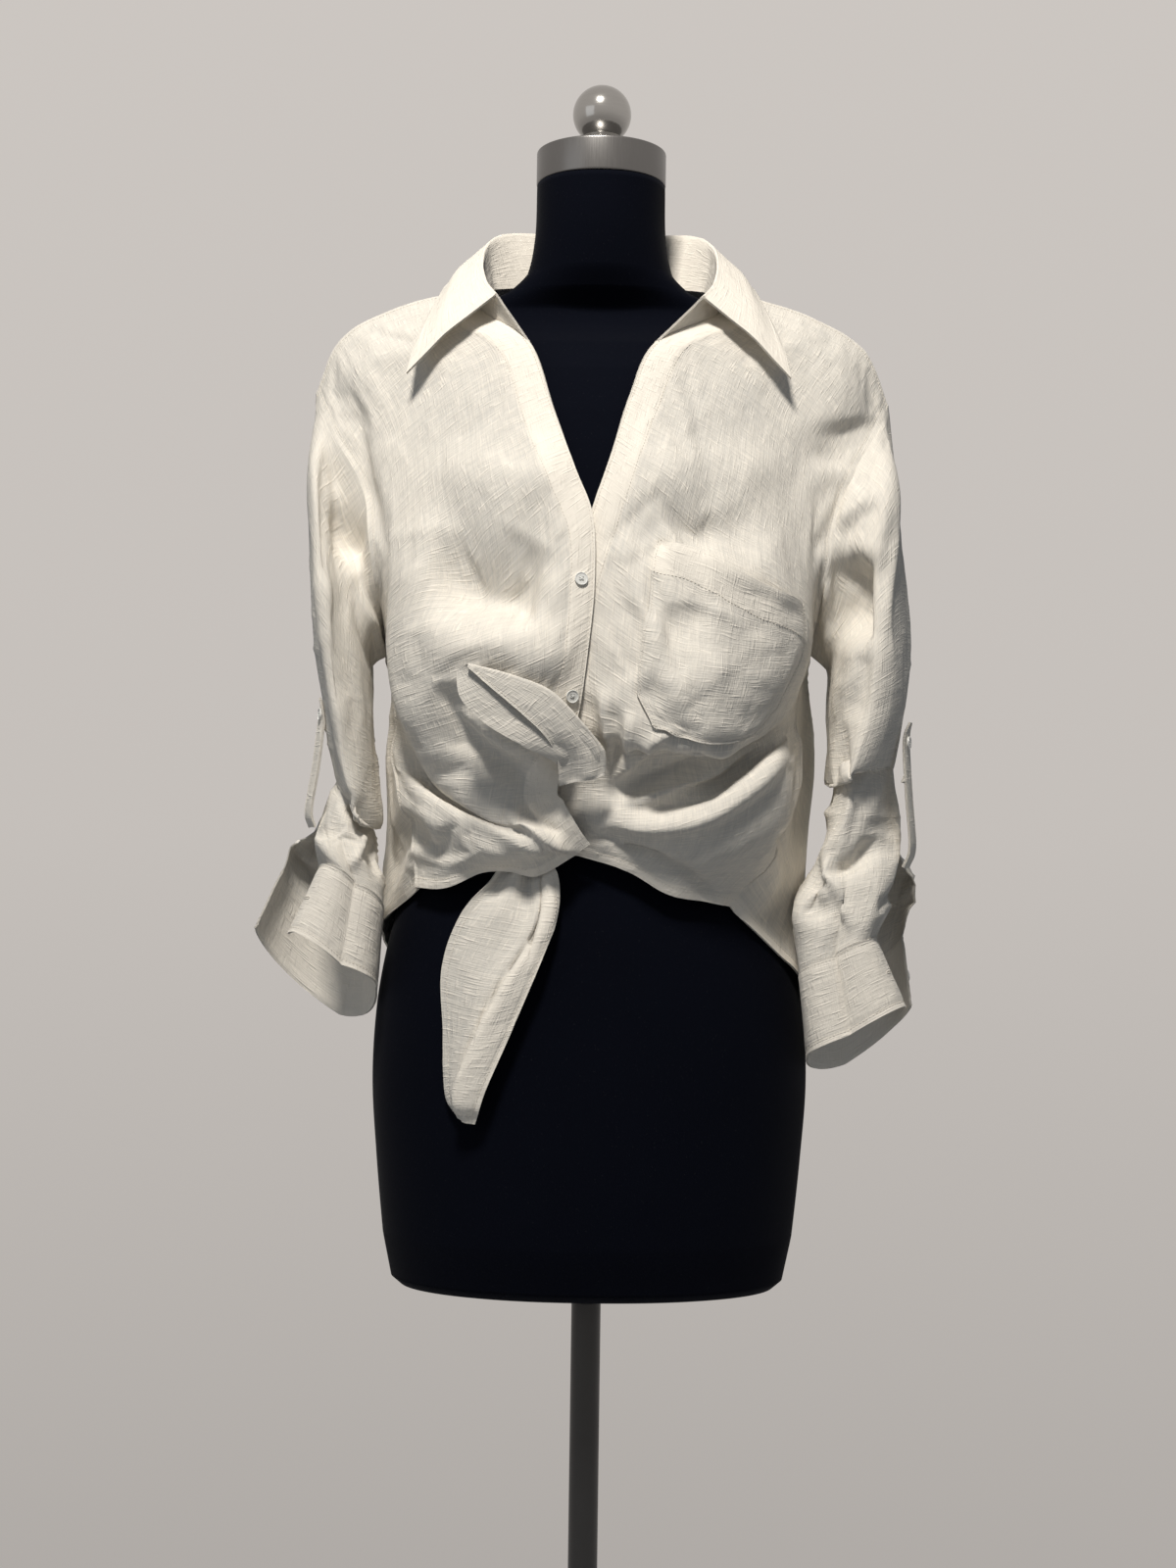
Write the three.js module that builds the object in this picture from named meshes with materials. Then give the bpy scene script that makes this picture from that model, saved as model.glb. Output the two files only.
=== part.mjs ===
import * as THREE from 'three';
import { mergeVertices } from 'three/addons/utils/BufferGeometryUtils.js';

// A linen shirt, tied in a knot at the waist, worn on a dress form that stands on a pole.
// Millimetres. X runs to the wearer's left, Y to the back and Z up from the floor.
// The tables give a place as across (X), forward (minus Y) and up (Z).

// Cloth and gaps
const CLOTH = 1.4;
const SEAM_GAP = 0.8;
const UNDERARM_GAP = 2.4;
const LAYER_GAP = 0.8;
const TIE_GAP = 0.1;
const POCKET_GAP = 1.2;
const LEAF_GAP = 3;
const FORM_GAP = 1.2;
const STAND_GAP = 0.5;

// How far from its line a move is eased out, and how far a piece is looked for under another
const SHOULDER_EASE = 3;
const SIDE_EASE = 2;
const LAY_REACH = 40;

// Facets from one row or column of a table to the next
const DOWN_STEPS = 2;
const PANEL_STEPS = 3;
const BACK_STEPS = 3;
const STRIP_STEPS = 4;
const CUFF_STEPS = 3;
const ARMHOLE_ROWS = 4;
const NECK_ROWS = 2;
const SLIT_RING = 8;

// Stand
const BASE_RADIUS = 200;
const BASE_HEIGHT = 14;
const BASE_EDGE = 4;
const BASE_RISE = 2;
const SOCKET_RADIUS = 19;
const SOCKET_FLARE = 3;
const SOCKET_TOP = 62;
const CHAMFER = 2;
const POLE_RADIUS = 11.5;
const POLE_COLLAR_RADIUS = 15.5;
const POLE_COLLAR_HEIGHT = 11;
const FORM_BOTTOM = 600;
const FORM_TOP = 1466;
const FORM_DOME = 3;
const FORM_SIDES = 36;
const FORM_SQUARENESS = 2.15;
const FORM_CORE = 0.2;
const NECK_RING_RADIUS = 51.5;
const NECK_RING_HEIGHT = 27;
const FINIAL_BALL_RADIUS = 23.3;
const FINIAL_BALL_UP = 1525;
const FINIAL_NECK_RADIUS = 15;
const FINIAL_FOOT_RADIUS = 20;
const FINIAL_FOOT_HEIGHT = 3;
const FINIAL_BALL_FROM = -50;
const FINIAL_BALL_STEP = 20;
const WIDE_SIDES = 36;
const NARROW_SIDES = 20;

// Buttons
const BUTTON_RADIUS = 5;
const BUTTON_THICKNESS = 1.8;
const BUTTON_HOLE_RADIUS = 0.8;
const BUTTON_HOLE_RING = 1.5;
const BUTTON_HOLES = 4;
const BUTTON_FACETS = 5;

// Level sections of the form: half width, and depth to the front and to the back.
const FORM_SECTIONS = [
  { up: 600, half: 146, front: 92, back: 92 },
  { up: 606, half: 153, front: 99, back: 98 },
  { up: 640, half: 160, front: 109, back: 105 },
  { up: 700, half: 166, front: 113, back: 112 },
  { up: 760, half: 170, front: 113, back: 117 },
  { up: 820, half: 167, front: 110, back: 114 },
  { up: 870, half: 158, front: 105, back: 105 },
  { up: 920, half: 143, front: 97, back: 92 },
  { up: 965, half: 126, front: 89, back: 81 },
  { up: 1010, half: 116, front: 87, back: 78 },
  { up: 1060, half: 122, front: 95, back: 84 },
  { up: 1110, half: 134, front: 112, back: 93 },
  { up: 1165, half: 146, front: 128, back: 102 },
  { up: 1220, half: 150, front: 115, back: 105 },
  { up: 1270, half: 158, front: 98, back: 101 },
  { up: 1305, half: 170, front: 80, back: 90 },
  { up: 1330, half: 182, front: 58, back: 74 },
  { up: 1346, half: 180, front: 36, back: 52 },
  { up: 1357, half: 158, front: 27, back: 43 },
  { up: 1364, half: 128, front: 25, back: 40 },
  { up: 1370, half: 98, front: 30, back: 43 },
  { up: 1379, half: 74, front: 39, back: 48 },
  { up: 1394, half: 58, front: 47, back: 52 },
  { up: 1425, half: 52, front: 51, back: 52 },
  { up: 1466, half: 51, front: 51, back: 51 },
];

// The wearer's right front, on top at the buttons. Columns run from the centre edge to the
// armhole and side seam, and rows run from the shoulder to the hem.
const FRONT_RIGHT_ROWS = [
  { at: 'shoulder', across: [-84, -122, -164, -206, -225],
    forward: [-5, -5, -5, -5, -5], up: [1385, 1380, 1367, 1343, 1300] },
  { at: 'neck curve', across: [-91, -116, -150, -188, -207],
    forward: [38, 42, 42, 38, 32], up: [1357, 1350, 1338, 1308, 1260] },
  { at: 'neck corner', across: [-53, -86, -124, -161, -184],
    forward: [77, 74, 68, 62, 54], up: [1325, 1314, 1292, 1258, 1214] },
  { at: 'upper chest', across: [-33, -72, -112, -150, -170],
    forward: [103, 101, 96, 86, 62], up: [1268, 1248, 1222, 1190, 1146] },
  { at: 'bust', across: [-17, -58, -104, -148, -162],
    forward: [122, 130, 126, 102, 6], up: [1222, 1194, 1168, 1138, 1098] },
  { at: 'opening foot', across: [-3, -50, -106, -154, -154],
    forward: [133, 147, 142, 92, 12], up: [1184, 1144, 1118, 1098, 1080] },
  { at: 'second button', across: [-1, -50, -108, -147, -147],
    forward: [141, 156, 144, 92, 30], up: [1132, 1098, 1078, 1066, 1062] },
  { at: 'belly', across: [-5, -50, -104, -138, -147],
    forward: [145, 157, 141, 96, 38], up: [1085, 1060, 1046, 1040, 1044] },
  { at: 'belly low', across: [-12, -52, -96, -128, -151],
    forward: [141, 149, 132, 92, 38], up: [1034, 1018, 1012, 1016, 1028] },
  { at: 'knot top', across: [-26, -55, -90, -119, -153],
    forward: [130, 135, 119, 84, 44], up: [984, 984, 988, 998, 1014] },
  { at: 'valley', across: [-22, -54, -86, -113, -150],
    forward: [127, 118, 104, 80, 49], up: [974, 958, 964, 982, 1002] },
  { at: 'band ridge', across: [-15, -50, -86, -120, -146],
    forward: [126, 124, 116, 98, 58], up: [961, 938, 943, 963, 986] },
  { at: 'band foot', across: [-8, -44, -80, -112, -136],
    forward: [122, 117, 108, 91, 61], up: [950, 928, 929, 934, 947] },
  { at: 'hem', across: [-2, -40, -78, -110, -134],
    forward: [118, 110, 102, 87, 62], up: [942, 919, 920, 908, 908] },
];

// The wearer's left front, which passes behind the other at the buttons and at the knot.
const FRONT_LEFT_ROWS = [
  { at: 'shoulder', across: [84, 124, 168, 211, 231],
    forward: [-5, -5, -5, -5, -5], up: [1385, 1379, 1366, 1341, 1297] },
  { at: 'neck curve', across: [91, 117, 153, 193, 213],
    forward: [38, 42, 42, 38, 32], up: [1357, 1350, 1338, 1308, 1256] },
  { at: 'neck corner', across: [42, 84, 126, 164, 190],
    forward: [78, 75, 69, 62, 54], up: [1325, 1316, 1292, 1256, 1212] },
  { at: 'upper chest', across: [23, 66, 112, 152, 176],
    forward: [99, 101, 96, 86, 62], up: [1280, 1254, 1224, 1190, 1146] },
  { at: 'bust', across: [10, 54, 104, 150, 168],
    forward: [115, 128, 126, 102, 6], up: [1234, 1200, 1170, 1138, 1098] },
  { at: 'opening foot', across: [-4, 46, 104, 158, 161],
    forward: [125, 143, 138, 92, 14], up: [1190, 1150, 1122, 1106, 1082] },
  { at: 'pocket middle', across: [-20, 44, 104, 158, 156],
    forward: [131, 155, 144, 84, 32], up: [1136, 1094, 1080, 1086, 1072] },
  { at: 'lobe', across: [-23, 42, 100, 146, 154],
    forward: [135, 156, 146, 88, 40], up: [1088, 1046, 1036, 1058, 1064] },
  { at: 'lobe foot', across: [-22, 40, 94, 138, 153],
    forward: [133, 149, 140, 89, 44], up: [1040, 1016, 1010, 1038, 1058] },
  { at: 'tuck', across: [-28, 38, 92, 133, 152],
    forward: [122, 131, 119, 80, 46], up: [1004, 1013, 1014, 1034, 1050] },
  { at: 'valley', across: [-33, 36, 94, 134, 153],
    forward: [113, 120, 108, 82, 52], up: [983, 986, 992, 1016, 1036] },
  { at: 'band ridge', across: [-36, 38, 98, 140, 160],
    forward: [110, 125, 125, 98, 52], up: [967, 961, 977, 1002, 1020] },
  { at: 'band', across: [-36, 36, 92, 132, 152],
    forward: [106, 120, 121, 100, 60], up: [953, 938, 940, 955, 966] },
  { at: 'hem', across: [-34, 22, 56, 86, 104],
    forward: [103, 109, 107, 98, 86], up: [940, 924, 906, 900, 897] },
];

// The back, from the right side seam round to the left one. The shoulder parts of the first
// row, the armholes and the side seams are sewn to the fronts afterwards.
const BACK_ROWS = [
  { at: 'shoulder', across: [-225, -204, -144, -84, 0, 84, 148, 210, 231],
    forward: [-5, -5, -5, -5, -71, -5, -5, -5, -5],
    up: [1300, 1344, 1374, 1385, 1404, 1385, 1373, 1341, 1297] },
  { at: 'yoke', across: [-211, -190, -140, -76, 0, 76, 142, 194, 216],
    forward: [-48, -52, -68, -86, -92, -86, -68, -52, -48],
    up: [1260, 1306, 1340, 1358, 1366, 1358, 1340, 1306, 1256] },
  { at: 'shoulder blade', across: [-193, -174, -128, -66, 0, 66, 130, 178, 198],
    forward: [-70, -80, -98, -110, -112, -110, -98, -80, -70],
    up: [1214, 1256, 1288, 1300, 1304, 1300, 1288, 1256, 1212] },
  { at: 'armhole back', across: [-180, -166, -124, -62, 0, 62, 124, 168, 184],
    forward: [-66, -86, -110, -118, -119, -118, -110, -86, -66],
    up: [1146, 1186, 1214, 1226, 1230, 1226, 1214, 1186, 1146] },
  { at: 'underarm', across: [-162, -156, -122, -62, 0, 62, 122, 162, 168],
    forward: [6, -70, -106, -116, -116, -116, -106, -70, 6],
    up: [1098, 1116, 1136, 1148, 1152, 1148, 1136, 1116, 1098] },
  { at: 'rib', across: [-154, -153, -124, -62, 0, 62, 124, 160, 161],
    forward: [12, -58, -98, -111, -110, -111, -98, -58, 14],
    up: [1080, 1090, 1104, 1112, 1114, 1112, 1104, 1090, 1082] },
  { at: 'waist high', across: [-147, -152, -128, -64, 0, 64, 128, 162, 156],
    forward: [30, -46, -92, -106, -106, -106, -92, -46, 32],
    up: [1062, 1070, 1076, 1080, 1082, 1080, 1076, 1074, 1072] },
  { at: 'waist', across: [-147, -154, -130, -64, 0, 64, 130, 165, 154],
    forward: [38, -38, -90, -104, -103, -104, -90, -38, 40],
    up: [1044, 1048, 1050, 1050, 1050, 1050, 1050, 1054, 1064] },
  { at: 'waist low', across: [-151, -156, -132, -65, 0, 65, 132, 168, 153],
    forward: [38, -34, -90, -104, -102, -104, -90, -34, 44],
    up: [1028, 1028, 1024, 1018, 1016, 1018, 1024, 1034, 1058] },
  { at: 'side ridge', across: [-153, -158, -134, -66, 0, 66, 134, 169, 152],
    forward: [44, -26, -91, -106, -104, -106, -91, -26, 46],
    up: [1014, 1004, 994, 984, 980, 984, 994, 1012, 1050] },
  { at: 'hip high', across: [-150, -157, -136, -67, 0, 67, 136, 167, 153],
    forward: [49, -24, -92, -110, -109, -110, -92, -24, 52],
    up: [1002, 978, 960, 944, 938, 944, 960, 986, 1036] },
  { at: 'hip', across: [-146, -156, -138, -68, 0, 68, 138, 163, 160],
    forward: [58, -18, -93, -115, -115, -115, -93, -20, 52],
    up: [986, 950, 920, 900, 892, 900, 920, 950, 1020] },
  { at: 'tail', across: [-136, -159, -140, -70, 0, 70, 142, 162, 152],
    forward: [61, -12, -94, -119, -121, -119, -92, 0, 60],
    up: [947, 916, 872, 848, 838, 848, 868, 900, 966] },
  { at: 'hem', across: [-134, -164, -138, -72, 0, 72, 144, 164, 104],
    forward: [62, -14, -97, -124, -128, -124, -94, 18, 86],
    up: [908, 876, 818, 790, 782, 790, 808, 838, 897] },
];

// Each sleeve is a tube through level-ish rings, given at the outer, front, inner and back
// points, as [across, forward, up]. From the slit down the outer point opens into two: outer
// starts the overlap side and end finishes the button side.
const SLEEVE_RIGHT_RINGS = [
  { at: 'cap', outer: [-228, 4, 1246], front: [-204, 76, 1178],
    inner: [-178, 6, 1080], back: [-206, -72, 1180] },
  { at: 'upper arm', outer: [-224, 8, 1184], front: [-200, 88, 1132],
    inner: [-172, 10, 1070], back: [-201, -70, 1134] },
  { at: 'biceps', outer: [-216, 12, 1116], front: [-194, 92, 1086],
    inner: [-170, 14, 1050], back: [-195, -63, 1088] },
  { at: 'elbow', outer: [-208, 15, 1062], front: [-188, 92, 1046],
    inner: [-168, 16, 1026], back: [-189, -54, 1046] },
  { at: 'drawn in', outer: [-199, 18, 1032], front: [-182, 88, 1008],
    inner: [-164, 18, 1000], back: [-183, -48, 1014] },
  { at: 'fold edge', outer: [-194, 20, 1000], front: [-176, 88, 964],
    inner: [-160, 22, 962], back: [-180, -42, 984] },
  { at: 'tuck', outer: [-192, 24, 990], front: [-180, 76, 976],
    inner: [-170, 26, 974], back: [-184, -30, 984] },
  { at: 'slit top', outer: [-212, 32, 962], front: [-188, 78, 950],
    inner: [-166, 34, 946], back: [-194, -20, 958] },
  { at: 'slit', outer: [-212, 62, 942], front: [-186, 82, 930],
    inner: [-162, 42, 916], back: [-194, -8, 920], end: [-232, 20, 944] },
  { at: 'cuff seam', outer: [-207, 66, 922], front: [-180, 82, 911],
    inner: [-160, 44, 887], back: [-192, -4, 870], end: [-243, 18, 920] },
];
const SLEEVE_LEFT_RINGS = [
  { at: 'cap', outer: [238, 4, 1246], front: [208, 76, 1182],
    inner: [187, 4, 1082], back: [208, -72, 1182] },
  { at: 'upper arm', outer: [244, 8, 1184], front: [213, 88, 1140],
    inner: [187, 8, 1070], back: [213, -70, 1140] },
  { at: 'biceps', outer: [251, 12, 1116], front: [215, 94, 1092],
    inner: [184, 15, 1056], back: [215, -64, 1090] },
  { at: 'elbow', outer: [248, 15, 1064], front: [214, 95, 1046],
    inner: [185, 18, 1032], back: [215, -56, 1046] },
  { at: 'fold edge', outer: [239, 20, 1014], front: [199, 97, 1000],
    inner: [182, 42, 994], back: [206, -46, 1008] },
  { at: 'tuck', outer: [235, 24, 1006], front: [201, 82, 1014],
    inner: [187, 44, 1008], back: [206, -34, 1004] },
  { at: 'below tuck', outer: [236, 26, 984], front: [200, 82, 984],
    inner: [179, 46, 978], back: [205, -28, 984] },
  { at: 'slit top', outer: [240, 28, 956], front: [194, 86, 952],
    inner: [168, 52, 944], back: [205, -20, 956] },
  { at: 'slit', outer: [232, 60, 918], front: [190, 90, 910],
    inner: [153, 54, 900], back: [202, -12, 912], end: [253, 14, 922] },
  { at: 'cuff seam', outer: [216, 72, 874], front: [184, 90, 862],
    inner: [158, 58, 846], back: [200, -6, 842], end: [244, 6, 874] },
];
const CUFF_RIGHT_RINGS = [
  { at: 'lower edge', outer: [-230, 66, 871], front: [-188, 84, 849],
    inner: [-165, 46, 830], back: [-198, -8, 806], end: [-262, 20, 874] },
];
const CUFF_LEFT_RINGS = [
  { at: 'lower edge', outer: [238, 74, 822], front: [195, 92, 802],
    inner: [166, 60, 783], back: [202, -8, 772], end: [252, 6, 820] },
];
// The collar rises from the neckline to its fold and falls to the leaf's outer edge. Places
// from one front point round the back of the neck to the other, on the wearer's left.
const COLLAR_STATIONS = [
  { at: 'front corner', fold: [79, 68, 1363], edge: [147, 74, 1300] },
  { at: 'front', fold: [88, 50, 1378], edge: [142, 60, 1326] },
  { at: 'side front', fold: [92, 24, 1400], edge: [132, 32, 1358] },
  { at: 'side', fold: [88, -8, 1423], edge: [121, -4, 1385] },
  { at: 'side back', fold: [68, -48, 1441], edge: [96, -60, 1396] },
  { at: 'back', fold: [0, -78, 1447], edge: [0, -98, 1391] },
];

const COLLAR_STAND_SHARES = [0, 0.35, 0.72, 1];
const COLLAR_ROLL_OUT = 3.4;
const COLLAR_ROLL_DOWN = 2.2;
const COLLAR_LEAF_BOW = 5;
const COLLAR_LEAF_LINE = 5;

// Knot ends, from the knot outwards. Each row is a cross section of the folded strip.
const TIE_END_RIGHT_ROWS = [
  { at: 'knot', edge: [-25, 143, 984], top: [8, 143, 992], lower: [-21, 128, 992] },
  { at: 'neck', edge: [-26, 152, 1003], top: [10, 150, 1012], lower: [-28, 142, 1001] },
  { at: 'swell', edge: [-33, 162, 1018], top: [-8, 158, 1032], lower: [-52, 152, 1012] },
  { at: 'middle', edge: [-52, 168, 1034], top: [-34, 164, 1052], lower: [-80, 157, 1028] },
  { at: 'far', edge: [-74, 171, 1052], top: [-62, 168, 1062], lower: [-97, 160, 1046] },
  { at: 'tip', edge: [-92, 172, 1067], top: [-92, 170, 1070], lower: [-100, 166, 1066] },
];
const TIE_END_LEFT_ROWS = [
  { at: 'knot', left: [-62, 103, 937], ridge: [-48, 104, 939], right: [-35, 103, 940] },
  { at: 'under the band', left: [-76, 99, 914], ridge: [-44, 103, 915], right: [-29, 103, 916] },
  { at: 'swell', left: [-98, 97, 889], ridge: [-46, 114, 882], right: [-31, 111, 888] },
  { at: 'middle', left: [-112, 92, 848], ridge: [-68, 117, 840], right: [-40, 115, 850] },
  { at: 'narrow', left: [-110, 95, 800], ridge: [-84, 116, 798], right: [-58, 116, 803] },
  { at: 'low', left: [-108, 98, 756], ridge: [-96, 114, 760], right: [-76, 115, 760] },
  { at: 'tip', left: [-98, 103, 738], ridge: [-92, 112, 735], right: [-84, 112, 734] },
];

// Straps that hitch the sleeves, given down their middle line with a half width.
const TAB_RIGHT_ROWS = [
  { at: 'point', middle: [-208, 40, 1054], half: 3 },
  { at: 'button', middle: [-210, 42, 1040], half: 9 },
  { at: 'middle', middle: [-214, 44, 1000], half: 10 },
  { at: 'low', middle: [-219, 44, 966], half: 10 },
  { at: 'turn', middle: [-216, 44, 953], half: 10 },
];
const TAB_LEFT_ROWS = [
  { at: 'point', middle: [244, 44, 1040], half: 3 },
  { at: 'button', middle: [241, 46, 1024], half: 9 },
  { at: 'middle', middle: [243, 48, 984], half: 10 },
  { at: 'low', middle: [246, 48, 944], half: 10 },
  { at: 'turn', middle: [241, 48, 928], half: 10 },
];

const TAB_SIDE = [0.35, 0.94, 0];
const TAB_LINES = [-1, -0.33, 0.33, 1];
const TAB_BUTTON_LINE = 2;

// Main creases of the fronts: from and to are [column, row] in the panel's table.
const FRONT_RIGHT_CREASES = [
  { at: 'armpit drag', from: [3.6, 3.4], to: [1.6, 6.4], depth: -5, half: 0.32 },
  { at: 'chest hollow', from: [2.9, 3.0], to: [1.0, 5.2], depth: -5, half: 0.34 },
  { at: 'knot drag', from: [2.6, 8.2], to: [0.5, 9.8], depth: -4, half: 0.3 },
];
const FRONT_LEFT_CREASES = [
  { at: 'button drag', from: [0.3, 5.4], to: [2.4, 3.0], depth: -5, half: 0.3 },
  { at: 'armhole drag', from: [3.5, 3.2], to: [2.2, 5.4], depth: -4, half: 0.32 },
  { at: 'lobe fold', from: [0.6, 7.2], to: [2.6, 8.2], depth: -4, half: 0.3 },
];

// The pocket's outline on the left front, as [column, row] of its table.
const POCKET_CORNERS = {
  topInner: [0.96, 4.66], topOuter: [2.98, 4.72],
  lowInner: [0.78, 7.5], lowOuter: [2.66, 7.6],
};
const POCKET_FACETS = 9;
const POCKET_CUT = 0.14;
const POCKET_CUT_FROM = 0.84;

// Buttons as [column, row] on the fronts
const FRONT_BUTTONS = [{ place: [0.22, 5.78] }, { place: [0.2, 7.62] }];

const LINEN = { color: 0xf1ede2, roughness: 0.9, metalness: 0 };
const JERSEY = { color: 0x101114, roughness: 0.95, metalness: 0 };
const STEEL = { color: 0xb4b2ae, roughness: 0.35, metalness: 1 };
const POLISHED = { color: 0xa8a5a2, roughness: 0.15, metalness: 1 };
const BLACK_PAINT = { color: 0x0c0c0d, roughness: 0.4, metalness: 0.2 };
const PEARL = { color: 0xf3f1ea, roughness: 0.3, metalness: 0 };

const NORMAL_STEP = 0.05;
const LEAST_NORMAL = 0.3;

const place = (across, forward, up) => new THREE.Vector3(across, -forward, up);
const spot = (list) => place(...list);
const mix = (a, b, t) => a.clone().lerp(b, t);

// Smooth value at a fractional index of a list
function smooth(values, at) {
  const last = values.length - 1;
  const i = Math.min(Math.max(Math.floor(at), 0), last - 1);
  const t = at - i;
  const a = values[i];
  const b = values[i + 1];
  const before = i > 0 ? values[i - 1] : 2 * a - b;
  const after = i + 2 <= last ? values[i + 2] : 2 * b - a;
  const startSlope = (b - before) / 2;
  const endSlope = (after - a) / 2;
  const t2 = t * t;
  const t3 = t2 * t;
  return (2 * t3 - 3 * t2 + 1) * a + (t3 - 2 * t2 + t) * startSlope
    + (3 * t2 - 2 * t3) * b + (t3 - t2) * endSlope;
}

function smoothPoint(points, at) {
  return new THREE.Vector3(
    smooth(points.map((p) => p.x), at),
    smooth(points.map((p) => p.y), at),
    smooth(points.map((p) => p.z), at),
  );
}

// Half width, front or back depth of the form at a height
function formSize(up, key) {
  const list = FORM_SECTIONS;
  let i = 0;
  while (i < list.length - 2 && list[i + 1].up < up) i += 1;
  const t = THREE.MathUtils.clamp((up - list[i].up) / (list[i + 1].up - list[i].up), 0, 1);
  return THREE.MathUtils.lerp(list[i][key], list[i + 1][key], t);
}

// Keeps a point of cloth at least a gap outside the form, along the level line from its axis
function keepOffForm(point, gap) {
  if (point.z < FORM_BOTTOM || point.z > FORM_TOP) return point;
  const depth = formSize(point.z, point.y < 0 ? 'front' : 'back') + gap;
  const half = formSize(point.z, 'half') + gap;
  const reach = ((Math.abs(point.x) / half) ** FORM_SQUARENESS
    + (Math.abs(point.y) / depth) ** FORM_SQUARENESS) ** (1 / FORM_SQUARENESS);
  if (reach < 1 && reach > FORM_CORE) {
    point.x /= reach;
    point.y /= reach;
  }
  return point;
}

// A panel's smooth surface from its table, as a function of column and row
function tableSurface(rows) {
  return (column, row) => {
    const across = rows.map((r) => smooth(r.across, column));
    const forward = rows.map((r) => smooth(r.forward, column));
    const up = rows.map((r) => smooth(r.up, column));
    return place(smooth(across, row), smooth(forward, row), smooth(up, row));
  };
}

function surfaceNormal(surface, column, row) {
  const acrossStep = surface(column + NORMAL_STEP, row).sub(surface(column - NORMAL_STEP, row));
  const downStep = surface(column, row + NORMAL_STEP).sub(surface(column, row - NORMAL_STEP));
  return acrossStep.cross(downStep).normalize();
}

// Depth of the creases at a column and row: a soft trough that dies out at its two ends
function creaseDepth(creases, column, row) {
  let depth = 0;
  for (const crease of creases) {
    const along = [crease.to[0] - crease.from[0], crease.to[1] - crease.from[1]];
    const length2 = along[0] ** 2 + along[1] ** 2;
    const offset = [column - crease.from[0], row - crease.from[1]];
    const t = (offset[0] * along[0] + offset[1] * along[1]) / length2;
    if (t <= 0 || t >= 1) continue;
    const aside = (offset[0] * along[1] - offset[1] * along[0]) / Math.sqrt(length2);
    depth += crease.depth * Math.sin(Math.PI * t) * Math.exp(-((aside / crease.half) ** 2));
  }
  return depth;
}

function creasedSurface(rows, creases, facing) {
  const base = tableSurface(rows);
  return (column, row) => {
    const normal = surfaceNormal(base, column, row).multiplyScalar(facing);
    return base(column, row).addScaledVector(normal, creaseDepth(creases, column, row));
  };
}

function gridFrom(surface, columns, rows, columnSteps, rowSteps) {
  const grid = [];
  for (let i = 0; i <= rows * rowSteps; i += 1) {
    const line = [];
    for (let j = 0; j <= columns * columnSteps; j += 1) {
      line.push(surface(j / columnSteps, i / rowSteps));
    }
    grid.push(line);
  }
  return grid;
}

// A cloth piece in the making: its grid, which side is out, and where a tube stays closed
function cloth(grid, facing, closedRows = -1) {
  return { grid, facing, closedRows, normals: null };
}

const isClosed = (piece, i) => i <= piece.closedRows;

function neighbour(piece, i, j, di, dj) {
  const rows = piece.grid.length - 1;
  const columns = piece.grid[0].length - 1;
  const row = THREE.MathUtils.clamp(i + di, 0, rows);
  let column = j + dj;
  if (isClosed(piece, i)) {
    if (column > columns) column = 1;
    if (column < 0) column = columns - 1;
  }
  column = THREE.MathUtils.clamp(column, 0, columns);
  return piece.grid[row][column];
}

function setNormals(piece) {
  piece.normals = piece.grid.map((line, i) => line.map((point, j) => {
    const across = neighbour(piece, i, j, 0, 1).clone().sub(neighbour(piece, i, j, 0, -1));
    const down = neighbour(piece, i, j, 1, 0).clone().sub(neighbour(piece, i, j, -1, 0));
    return across.cross(down).normalize().multiplyScalar(piece.facing);
  }));
}

const key = (p) => `${p.x.toFixed(2)},${p.y.toFixed(2)},${p.z.toFixed(2)}`;

// Pieces that share seam points get one normal there, so that their edges face each other
function shareNormals(pieces) {
  const sums = new Map();
  const visit = (use) => pieces.forEach((piece) => piece.grid.forEach((line, i) => {
    line.forEach((point, j) => use(key(point), piece.normals[i][j]));
  }));
  visit((name, normal) => {
    if (!sums.has(name)) sums.set(name, new THREE.Vector3());
    sums.get(name).add(normal);
  });
  visit((name, normal) => {
    if (sums.get(name).length() > LEAST_NORMAL) normal.copy(sums.get(name)).normalize();
  });
}

// Draws the named edges of a piece in by half a gap; left and right give their last line
function drawIn(piece, edges) {
  const { grid } = piece;
  const rows = grid.length - 1;
  const columns = grid[0].length - 1;
  const moves = [];
  const pull = (i, j, ni, nj, gap = SEAM_GAP) => {
    const towards = grid[ni][nj].clone().sub(grid[i][j]).normalize();
    moves.push([grid[i][j], towards.multiplyScalar(gap / 2)]);
  };
  const topGap = (j) => (edges.wideTop && edges.wideTop.includes(j) ? UNDERARM_GAP : SEAM_GAP);
  if (edges.top) for (let j = 0; j <= columns; j += 1) pull(0, j, 1, j, topGap(j));
  if (edges.bottom) for (let j = 0; j <= columns; j += 1) pull(rows, j, rows - 1, j);
  if (edges.left) for (let i = 0; i <= edges.left; i += 1) pull(i, 0, i, 1);
  if (edges.right) for (let i = 0; i <= edges.right; i += 1) pull(i, columns, i, columns - 1);
  moves.forEach(([point, move]) => point.add(move));
}

// Moves an edge of a grid onto given points, and eases the move out over some lines
function sew(grid, line, targets, ease) {
  const moves = targets.map((target, n) => target.clone().sub(line(n, 0)));
  moves.forEach((move, n) => {
    for (let depth = 0; depth <= ease; depth += 1) {
      const share = (1 + Math.cos((Math.PI * depth) / (ease + 1))) / 2;
      line(n, depth).addScaledVector(move, share);
    }
  });
}

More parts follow.
